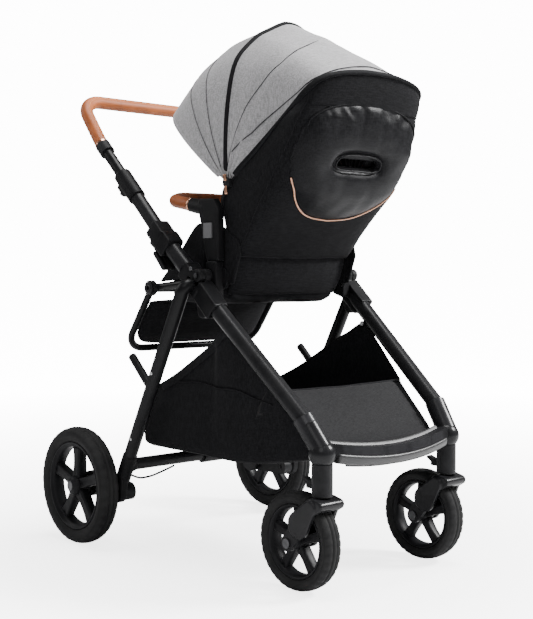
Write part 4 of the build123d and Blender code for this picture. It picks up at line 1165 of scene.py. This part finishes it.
class StrollerLeather(bpy.types.Operator):
    """Finishes the handle grip and the bumper bar with stitches and rings"""
    bl_idname = "stroller.leather"
    bl_label = "Leather"

    def execute(self, context):
        low = Vector((GRIP_X + 73, 0, GRIP_Z - 91.6))
        rise = (Vector((GRIP_X, 0, GRIP_Z)) - low).normalized()
        inner = Vector((rise.z, 0, -rise.x)) * (GRIP_RADIUS - 0.1)
        path = []
        for k in range(5):
            p = low.lerp(Vector((GRIP_X, 0, GRIP_Z)), 0.02 + 0.115 * k)
            path.append(at(p.x + inner.x, GRIP_Y, p.z + inner.z))
        start = Vector((GRIP_X, 0, GRIP_Z)) - rise * GRIP_CORNER
        for k in range(9):
            a = math.pi / 2 * k / 8
            along_arm = GRIP_CORNER * math.sin(a)
            y = GRIP_Y - GRIP_CORNER * (1 - math.cos(a))
            p = start + rise * along_arm
            path.append(at(p.x + inner.x, y, p.z + inner.z))
        half = path + [at(GRIP_X + inner.x, y, GRIP_Z + inner.z) for y in (120, 60)]
        whole = half + [Vector((p.x, -p.y, p.z)) for p in reversed(half)]
        stitches("grip_stitches", whole, 3.4, 1.5, 0.55, "tan thread", "handle",
                 up=Vector((inner.x, 0, inner.z)))
        nose = [(6, BAR_Y), (70, BAR_Y - 2), (102, BAR_Y - 18), (130, BAR_Y - 55), (145, 60), (150, 0)]
        upper = [at(BAR_X - f, y, BAR_Z + f * BAR_RISE - 12.7) for f, y in nose]
        line = through(upper + [Vector((p.x, -p.y, p.z)) for p in reversed(upper[:-1])], 6)
        stitches("bar_stitches", line, 3.4, 1.5, 0.55, "tan thread", "bumper_bar", up=Vector((0, 0, -1)))
        for name, sign in SIDES:
            a = at(BAR_X - 6.2, sign * BAR_Y, BAR_Z + 6.2 * BAR_RISE)
            b = at(BAR_X - 11.0, sign * BAR_Y, BAR_Z + 11.0 * BAR_RISE)
            ring_between(f"bar_ring_{name}", a, b, 14.4, 12.2, "rose metal", "bumper_bar")
        return {"FINISHED"}


# ---- basket -------------------------------------------------------------------------
# The bag's lower line and the edge that its sides rise to, both as (x, z), from rear to front.
BAG_LINES = [
    ((128, 330), (129, 331)), ((106, 262), (150, 341)), ((96, 216), (180, 354)), ((160, 211), (225, 376)),
    ((260, 211), (300, 419)), ((340, 210), (350, 448)), ((420, 211), (390, 470)), ((500, 222), (425, 437)),
    ((575, 236), (455, 407)), ((598, 247), (478, 384)), ((603, 262), (492, 370)), ((570, 296), (500, 361)),
    ((506, 356), (505, 357)),
]
FRONT_WALL_ROW = 10.0


def bag_half(x):
    return 178.0 if x < 400 else 178.0 - 20.0 * (x - 400) / 240


def bag_rows(count, sag):
    low = through([at(p[0], 0, p[1]) for p, _ in BAG_LINES], 4)
    top = through([at(p[0], 0, p[1]) for _, p in BAG_LINES], 4)
    rows = []
    for k, (p, q) in enumerate(zip(low, top)):
        s = k / 4
        half = bag_half((p.x - AXLE_X) / MM)
        top_half = bag_half((q.x - AXLE_X) / MM) if k < 20 else 160.0 + 0.15 * (q.z / MM - 262.0)
        across = []
        floor = min(1.0, max(0.0, 1 - abs(s - 5.5) / 5.2))
        for j in range(-10, 11):
            t = j / 10
            hang = (1 - t * t) * sag * (0.35 + 0.65 * floor)
            wave = noise.noise(Vector((t * 3.1, s * 0.7, 8.3))) * 2.5 * (1 - t * t)
            across.append(p + Vector((0.25 * hang if s > 9 else 0, t * half, -hang + wave)) * MM)
        sides = []
        for i in range(1, 9):
            t = i / 8
            bulge = math.sin(t * math.pi) * 4.0 * min(1.0, (q - p).length / (80 * MM))
            wrinkle = noise.noise(Vector((s * 1.1, t * 2.7, 2.9))) * 2.0 * math.sin(t * math.pi)
            y = half + (top_half - half) * t - bulge * 0.2 + wrinkle
            point = p.lerp(q, t)
            sides.append(point + Vector((0, min(y, 193.0), -bulge * 0.3)) * MM)
        right = [Vector((v.x, -v.y, v.z)) for v in reversed(sides)]
        rows.append(right + across + sides)
    return rows


class StrollerBasket(bpy.types.Operator):
    """Builds the shopping basket as one hanging bag, with its bindings, seams, hems and front panel"""
    bl_idname = "stroller.basket"
    bl_label = "Basket"

    def execute(self, context):
        sag = context.scene.stroller_sizes.basket_sag / MM
        rows = bag_rows(48, sag)
        bag = grid("basket_bag", rows)
        outward(bag)
        thicken(bag, 1.8)
        smooth(bag, 1)
        apply_modifiers(bag)
        dress(bag, "black cloth", "chassis")
        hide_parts("basket")
        first = int(FRONT_WALL_ROW * 4) - 1
        panel_rows = [[p + Vector((1.5, 0, 1.2)) * MM for p in row[9:-9]] for row in rows[first:]]
        panel = grid("basket_front_panel", panel_rows)
        outward(panel)
        thicken(panel, 1.6, offset=1.0)
        smooth(panel, 1)
        dress(panel, "dark heather", "chassis")
        for name, sign in SIDES:
            edge = [row[-1] if sign > 0 else row[0] for row in rows]
            cord_curve(f"basket_binding_{name}", edge[::2], 2.6, "black webbing", "chassis")
            tuck = Vector((0, -sign * 4.0, 4.5)) * MM
            seam = [(row[-9] if sign > 0 else row[8]) + tuck for row in rows[6:41]]
            cord_curve(f"basket_seam_{name}", seam[::2], 1.5, "black webbing", "chassis")
            line = []
            for k, row in enumerate(rows[9:32]):
                drop = 1 + 3.6 * math.sin(math.pi * min(1.0, k / 16) / 2)
                i = int(drop)
                a, b = (row[-i], row[-i - 1]) if sign > 0 else (row[i - 1], row[i])
                line.append(a.lerp(b, drop - i) + Vector((0, sign * 1.6, 0)) * MM)
            cord_curve(f"basket_panel_seam_{name}", line, 1.3, "black webbing", "chassis")
            hem = [row[-1] + Vector((0, sign * 1.5 * MM, -9 * MM)) if sign > 0
                   else row[0] + Vector((0, sign * 1.5 * MM, -9 * MM)) for row in rows[6:26]]
            strap(f"basket_hem_{name}", hem, [Vector((0, sign, 0))] * len(hem), 16, 1.6,
                  "black webbing", "chassis")
        cord_curve("basket_rear_binding", rows[0][8:-8], 3.0, "black webbing", "chassis")
        cord_curve("basket_front_binding", [p + Vector((1, 0, 1)) * MM for p in rows[-1][8:-8]], 2.6,
                   "black webbing", "chassis")
        return {"FINISHED"}


# ---- wheels -------------------------------------------------------------------------
REAR_WHEEL = (124.0, 45.0, 19.0)
FRONT_WHEEL = (91.0, 42.0, 14.0)


def tyre(name, centre, radius, width, depth):
    half = width / 2
    profile = [(radius * 0.752, -width * 0.34), (radius * 0.79, -half * 0.86), (radius * 0.85, -half * 0.985),
               (radius * 0.9, -half * 0.985), (radius * 0.905, -half * 0.96), (radius * 0.93, -half * 0.95),
               (radius * 0.962, -half * 0.80), (radius * 0.985, -half * 0.55), (radius * 0.987, -half * 0.50),
               (radius * 0.994, -half * 0.32), (radius * 0.981, -half * 0.26), (radius * 0.981, -half * 0.18),
               (radius * 0.9985, -half * 0.12)]
    profile += [(radius, 0.0)] + [(r, -h) for r, h in reversed(profile)]
    rows = []
    segments = 144
    for i in range(segments):
        a = math.tau * i / segments
        row = []
        for r, h in profile:
            shoulder = 0.30 < abs(h) / half < 0.97 and r > radius * 0.92
            if shoulder and i % 4 == (0 if h > 0 else 2):
                r -= depth
            if 0.84 < r / radius < 0.91 and i % 2:
                r -= 0.25
            row.append(centre + Vector((r * math.cos(a), h, r * math.sin(a))) * MM)
        rows.append(row)
    obj = grid(name, rows, wrap_rows=True, wrap_columns=True)
    outward(obj)
    smooth(obj)
    return obj


def spoke(angle, centre, inner, outer, inner_half, outer_half, thick_in, thick_out, face):
    rows = []
    c, s = math.cos(angle), math.sin(angle)
    for k in range(9):
        t = k / 8
        r = inner + (outer - inner) * t
        waist = 1 - 0.16 * math.sin(t * math.pi)
        w = (inner_half + (outer_half - inner_half) * t ** 1.4) * waist
        h = thick_in + (thick_out - thick_in) * t
        dish = -face * 1.6 * math.sin(t * math.pi)
        row = []
        for j in range(20):
            a = math.tau * j / 20
            across = math.copysign(abs(math.cos(a)) ** 0.45, math.cos(a)) * w
            up = math.copysign(abs(math.sin(a)) ** 0.5, math.sin(a)) * h
            if abs(across) < w * 0.55:
                up *= 0.80
            row.append(centre + Vector((r * c - across * s, up + dish, r * s + across * c)) * MM)
        rows.append(row)
    obj = grid("spoke", rows, wrap_columns=True)
    cap_ends(obj)
    return obj


def rim(name, centre, radius, width, hub, face):
    seat, opening, half = radius * 0.748, radius * 0.662, width * 0.355
    parts = [
        turned("ring", [(opening, 0), (opening + 0.4, half * 0.62), (opening + 2.4, half * 0.84),
                        (seat - 4.6, half * 0.90), (seat - 3.2, half * 1.06), (seat - 1.2, half * 1.10),
                        (seat, half * 0.98),
                        (seat, -half * 0.98), (seat - 1.2, -half * 1.10), (seat - 3.2, -half * 1.06),
                        (seat - 4.6, -half * 0.90), (opening + 2.4, -half * 0.84),
                        (opening + 0.4, -half * 0.62)],
               centre, 96),
        turned("hub", [(6.1, -width / 2), (hub * 0.7, -width / 2), (hub * 0.92, -width * 0.44),
                       (hub * 1.1, -width * 0.3),
                       (hub * 1.14, 0), (hub * 1.1, width * 0.3), (hub * 0.92, width * 0.44),
                       (hub * 0.7, width / 2),
                       (6.1, width / 2)], centre, 64),
        turned("cap", [(6.1, face * width / 2), (hub * 0.62, face * width / 2),
                       (hub * 0.60, face * (width / 2 + 0.8)),
                       (6.1, face * (width / 2 + 0.9))], centre, 48),
    ]
    for i in range(5):
        angle = math.radians(90 + 72 * i)
        parts.append(spoke(angle, centre, hub * 0.8, opening + 2.5, hub * 0.66, radius * 0.118,
                           half * 0.80, half * 0.64, face))
    return join(name, parts)


class StrollerWheels(bpy.types.Operator):
    """Builds the four spoked wheels with their grooved tyres"""
    bl_idname = "stroller.wheels"
    bl_label = "Wheels"

    def execute(self, context):
        depth = context.scene.stroller_sizes.tread_depth / MM
        for end, (radius, width, hub) in (("rear", REAR_WHEEL), ("front", FRONT_WHEEL)):
            for name, sign in SIDES:
                node, tread = f"{end}_rim_{name}", f"{end}_tyre_{name}"
                centre = middle(node)
                body = f"{end}_wheel_{name}"
                rubber = tyre(f"{end}_tyre_tread_{name}", centre, radius, width, depth)
                dress(rubber, "tyre rubber", body)
                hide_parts(tread)
                wheel = rim(f"{end}_wheel_spokes_{name}", centre, radius, width, hub, sign)
                dress(wheel, "wheel moulding", body)
                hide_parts(node)
        return {"FINISHED"}


# ---- small parts --------------------------------------------------------------------
LEG_TOP, LEG_FOOT, LEG_OUTER_FACE = (316.0, 553.0), (105.0, 145.0), 252.0
RIVET_HEIGHTS = (376.0, 236.0)
HUB_SCREW = (316.0, 224.0, 585.0)


def button_head(name, centre, direction, radius, height, finish, body):
    """A domed rivet or screw head."""
    profile = [(0.4, height), (radius * 0.5, height * 0.93), (radius * 0.85, height * 0.6),
               (radius, 0.0), (radius, -0.6),
               (0.4, -0.6)]
    obj = turned(name, profile, Vector((0, 0, 0)), 24)
    rotate = Vector((0, 1, 0)).rotation_difference(direction).to_matrix().to_4x4()
    obj.data.transform(Matrix.Translation(centre) @ rotate)
    return dress(obj, finish, body)


class StrollerDetails(bpy.types.Operator):
    """Adds the zip slider and pull, rivets and screw heads"""
    bl_idname = "stroller.details"
    bl_label = "Small parts"

    def execute(self, context):
        top, low = rear_point(0.0, 2.0), rear_point(0.0, 0.4)
        down = (low - top).normalized()
        head = low + Vector((0, -5.0, 0)) * MM
        for name, start, length, wide, thick in (("zip_slider", -4, 13, 10, 5.0),
                                                 ("zip_pull", 8, 27, 8.5, 2.6)):
            points = [head + down * (start + length * k / 6) * MM for k in range(7)]
            strap(name, points, [Vector((0, -1, 0))] * 7, wide, thick, "rose metal", "backrest", levels=2)
        for name, sign in SIDES:
            out = Vector((0, sign, 0))
            for k, z in enumerate(RIVET_HEIGHTS):
                share = (z - LEG_TOP[1]) / (LEG_FOOT[1] - LEG_TOP[1])
                x = LEG_TOP[0] + (LEG_FOOT[0] - LEG_TOP[0]) * share
                button_head(f"leg_rivet_{k}_{name}", at(x, sign * LEG_OUTER_FACE, z), out, 3.6, 1.8,
                            "bright steel", "rear_frame")
            button_head(f"hub_screw_{name}", at(HUB_SCREW[0], sign * HUB_SCREW[1], HUB_SCREW[2]), out,
                        4.2, 1.8, "dark steel", "chassis")
        return {"FINISHED"}


NODE_FINISH = {
    "front_legs": "black powder coat", "side_tubes": "black powder coat", "handle_tube": "black powder coat",
    "rear_legs": "black powder coat", "rear_crosstube": "black powder coat",
    "seat_frame": "black powder coat",
    "calf_rest": "black powder coat", "hub_pins": "dark steel", "grip_rings": "rose metal",
    "handle_grip": "tan leather",
    "bumper_bar": "tan leather", "brake_cable": "cable sheath", "basket_snaps": "bright steel",
    "canopy_pivots": "black moulding", "front_bumper": "gloss moulding",
}
PAIR_FINISH = {
    "caster_fork": "gloss moulding", "rear_axle": "dark steel", "front_axle": "dark steel",
    "memory_button": "grey moulding",
}


# The bumper's bow: place of its middle, X at its ends, how far the ends rise, and half its span.
BOW_X, BOW_Z, BOW_END_X, BOW_RISE, BOW_HALF = 646.0, 241.0, 631.0, 14.0, 152.0
SOFTENED = ("hub_housings", "handle_knuckles", "latch_housings", "telescope_clamps", "seat_brackets",
            "seat_adapters",
            "axle_brackets", "caster_fork_right", "caster_fork_left")
SOFT_VOXEL, SOFT_PASSES = 1.6, 7


def softened(node):
    """A copy of a moulded part with its hard edges rounded over, which stands for the part."""
    source = NODES[node]
    piece = link(f"{node}_shape", source.data.copy())
    bm = bmesh.new()
    bm.from_mesh(piece.data)
    bmesh.ops.remove_doubles(bm, verts=bm.verts, dist=1e-5)
    bm.to_mesh(piece.data)
    bm.free()
    remesh = piece.modifiers.new("Remesh", "REMESH")
    remesh.mode = "VOXEL"
    remesh.voxel_size = SOFT_VOXEL * MM
    relax = piece.modifiers.new("Relax", "SMOOTH")
    relax.factor = 0.5
    relax.iterations = SOFT_PASSES
    thin = piece.modifiers.new("Thin", "DECIMATE")
    thin.ratio = 0.35
    apply_modifiers(piece)
    return piece


def body_of(node):
    """The body that carries a node, whose name ends with its side where it has one."""
    if node.startswith("caster_fork_"):
        return node.replace("caster_fork", "caster")
    if node in ("handle_knuckles", "latch_housings", "telescope_clamps"):
        return "handle_frame"
    return "rear_frame" if node == "axle_brackets" else "chassis"


class StrollerHousings(bpy.types.Operator):
    """Rounds over the moulded housings, and adds the bumper's gloss tray and the canopy's pivot caps"""
    bl_idname = "stroller.housings"
    bl_label = "Housings"

    def execute(self, context):
        for node in SOFTENED:
            piece = softened(node)
            finish = NODE_FINISH.get(node) or PAIR_FINISH.get(node.rsplit("_", 1)[0], "black moulding")
            dress(piece, finish, body_of(node))
            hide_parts(node)
        caps = []
        for sign in (-1, 1):
            profile = [(0.4, 178.5), (6.0, 178.2), (9.0, 176.5), (10.0, 173.5), (10.0, 158.0), (0.4, 158.0)]
            caps.append(turned("cap", [(r, sign * h) for r, h in profile], at(PIVOT_X, 0, PIVOT_Z), 32))
        pair = join("canopy_pivot_caps", caps)
        outward(pair)
        dress(pair, "black moulding", "backrest")
        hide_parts("canopy_pivots")
        section = [(-17, -15), (12, -19), (18, -12), (19.5, -3), (17.5, 1.5), (14, 1.0), (11.5, -1.5), (8, 2),
                   (-8, 20), (-11, 23.5), (-15, 23), (-18.5, 8)]
        rows = []
        for k in range(49):
            t = 2 * k / 48 - 1
            rows.append([at(BOW_X - (BOW_X - BOW_END_X) * t * t + x, t * BOW_HALF,
                            BOW_Z + BOW_RISE * t * t + z)
                         for x, z in section])
        tray = grid("front_bumper_tray", rows, wrap_columns=True)
        cap_ends(tray)
        outward(tray)
        smooth(tray, 2)
        # The tray's lighter colour is painted sheen.
        dress(tray, "tray moulding", "chassis")
        return {"FINISHED"}


class StrollerFrame(bpy.types.Operator):
    """Gives every carried-over part of the frame its finish"""
    bl_idname = "stroller.frame"
    bl_label = "Frame finishes"

    def execute(self, context):
        for name, obj in NODES.items():
            finish = NODE_FINISH.get(name) or PAIR_FINISH.get(name.rsplit("_", 1)[0], "black moulding")
            obj.data.materials.clear()
            obj.data.materials.append(material(finish))
        return {"FINISHED"}


# ---- stage --------------------------------------------------------------------------
CAMERA_PLACE = Vector((1.7425, -1.5584, 0.5785))
CAMERA_AIM = Vector((-0.7486, 0.6622, -0.0334))
CAMERA_LENS = 64.4


class StrollerStage(bpy.types.Operator):
    """Sets up the pale floor, the studio lights and the camera"""
    bl_idname = "stroller.stage"
    bl_label = "Stage"

    def execute(self, context):
        scene = context.scene
        camera = bpy.data.objects.new("Camera", bpy.data.cameras.new("Camera"))
        scene.collection.objects.link(camera)
        camera.location = CAMERA_PLACE
        camera.rotation_euler = CAMERA_AIM.to_track_quat("-Z", "Y").to_euler()
        camera.data.lens = CAMERA_LENS
        camera.data.shift_x = 0.0199
        camera.data.shift_y = -0.0008
        scene.camera = camera
        world = bpy.data.worlds.new("Studio")
        world.use_nodes = True
        tree = world.node_tree
        tree.nodes.clear()
        seen = shader_node(tree, "ShaderNodeLightPath").outputs["Is Camera Ray"]
        glow = shader_node(tree, "ShaderNodeBackground", {"Color": (1, 1, 1, 1), "Strength": 0.24})
        white = shader_node(tree, "ShaderNodeBackground", {"Color": (1, 1, 1, 1), "Strength": 14.0})
        both = shader_node(tree, "ShaderNodeMixShader", {0: seen, 1: glow.outputs[0], 2: white.outputs[0]})
        shader_node(tree, "ShaderNodeOutputWorld", {"Surface": both.outputs[0]})
        scene.world = world
        floor = grid("floor", [[Vector((x, y, -0.0004)) for x in (-30, 30)] for y in (-30, 30)])
        pale = bpy.data.materials.new("pale floor")
        pale.use_nodes = True
        tree = pale.node_tree
        surface = tree.nodes["Principled BSDF"]
        surface.inputs["Base Color"].default_value = (0.88, 0.88, 0.885, 1)
        surface.inputs["Roughness"].default_value = 0.55
        surface.inputs["Emission Color"].default_value = (1, 1, 1, 1)
        place = shader_node(tree, "ShaderNodeTexCoord").outputs["Object"]
        away = shader_node(tree, "ShaderNodeVectorMath", {0: place}, operation="LENGTH").outputs["Value"]
        glow = shader_node(tree, "ShaderNodeMapRange", {"Value": away, "From Min": 0.5, "From Max": 3.2,
                                                        "To Min": 3.4, "To Max": 14.0}).outputs[0]
        seen = shader_node(tree, "ShaderNodeLightPath").outputs["Is Camera Ray"]
        tree.links.new(maths(tree, "MULTIPLY", glow, seen), surface.inputs["Emission Strength"])
        floor.data.materials.append(pale)
        for name, place, aim, size, power in (
                ("key light", (2.0, 2.4, 2.6), (0, 0, 0.4), 1.0, 420),
                ("fill light", (1.9, -2.4, 2.6), (0, 0, 0.5), 1.8, 42),
                ("side light", (-2.6, -1.6, 2.2), (0, 0, 0.6), 1.6, 30),
                ("top light", (0.2, 0.2, 4.6), (0, 0, 0), 2.4, 330)):
            light = bpy.data.lights.new(name, "AREA")
            light.size = size
            light.energy = power
            lamp = bpy.data.objects.new(name, light)
            scene.collection.objects.link(lamp)
            lamp.location = place
            lamp.rotation_euler = (Vector(aim) - Vector(place)).to_track_quat("-Z", "Y").to_euler()
        return {"FINISHED"}


class StrollerPanel(bpy.types.Panel):
    """Lists the stroller's settings and building steps"""
    bl_idname = "VIEW3D_PT_stroller"
    bl_label = "Baby stroller"
    bl_space_type = "VIEW_3D"
    bl_region_type = "UI"
    bl_category = "Stroller"

    def draw(self, context):
        layout = self.layout
        for settings in (context.scene.stroller_colours, context.scene.stroller_sizes):
            for key in settings.bl_rna.properties.keys():
                if key not in ("rna_type", "name"):
                    layout.prop(settings, key)
        for step in STEPS:
            layout.operator(step.bl_idname)


STEPS = (StrollerStage, StrollerFrame, StrollerHousings, StrollerWheels, StrollerCanopy,
         StrollerBackrest, StrollerSeat,
         StrollerHarness, StrollerCalfRest, StrollerLeather, StrollerBasket, StrollerDetails)
CLASSES = (StrollerColours, StrollerSizes, *STEPS, StrollerPanel)


def register():
    for cls in CLASSES:
        bpy.utils.register_class(cls)
    bpy.types.Scene.stroller_colours = bpy.props.PointerProperty(type=StrollerColours)
    bpy.types.Scene.stroller_sizes = bpy.props.PointerProperty(type=StrollerSizes)


def unregister():
    del bpy.types.Scene.stroller_sizes
    del bpy.types.Scene.stroller_colours
    for cls in reversed(CLASSES):
        bpy.utils.unregister_class(cls)


def main():
    register()
    for step in STEPS:
        area, name = step.bl_idname.split(".")
        getattr(getattr(bpy.ops, area), name)()
    bpy.context.view_layer.update()


if __name__ == "__main__":
    main()
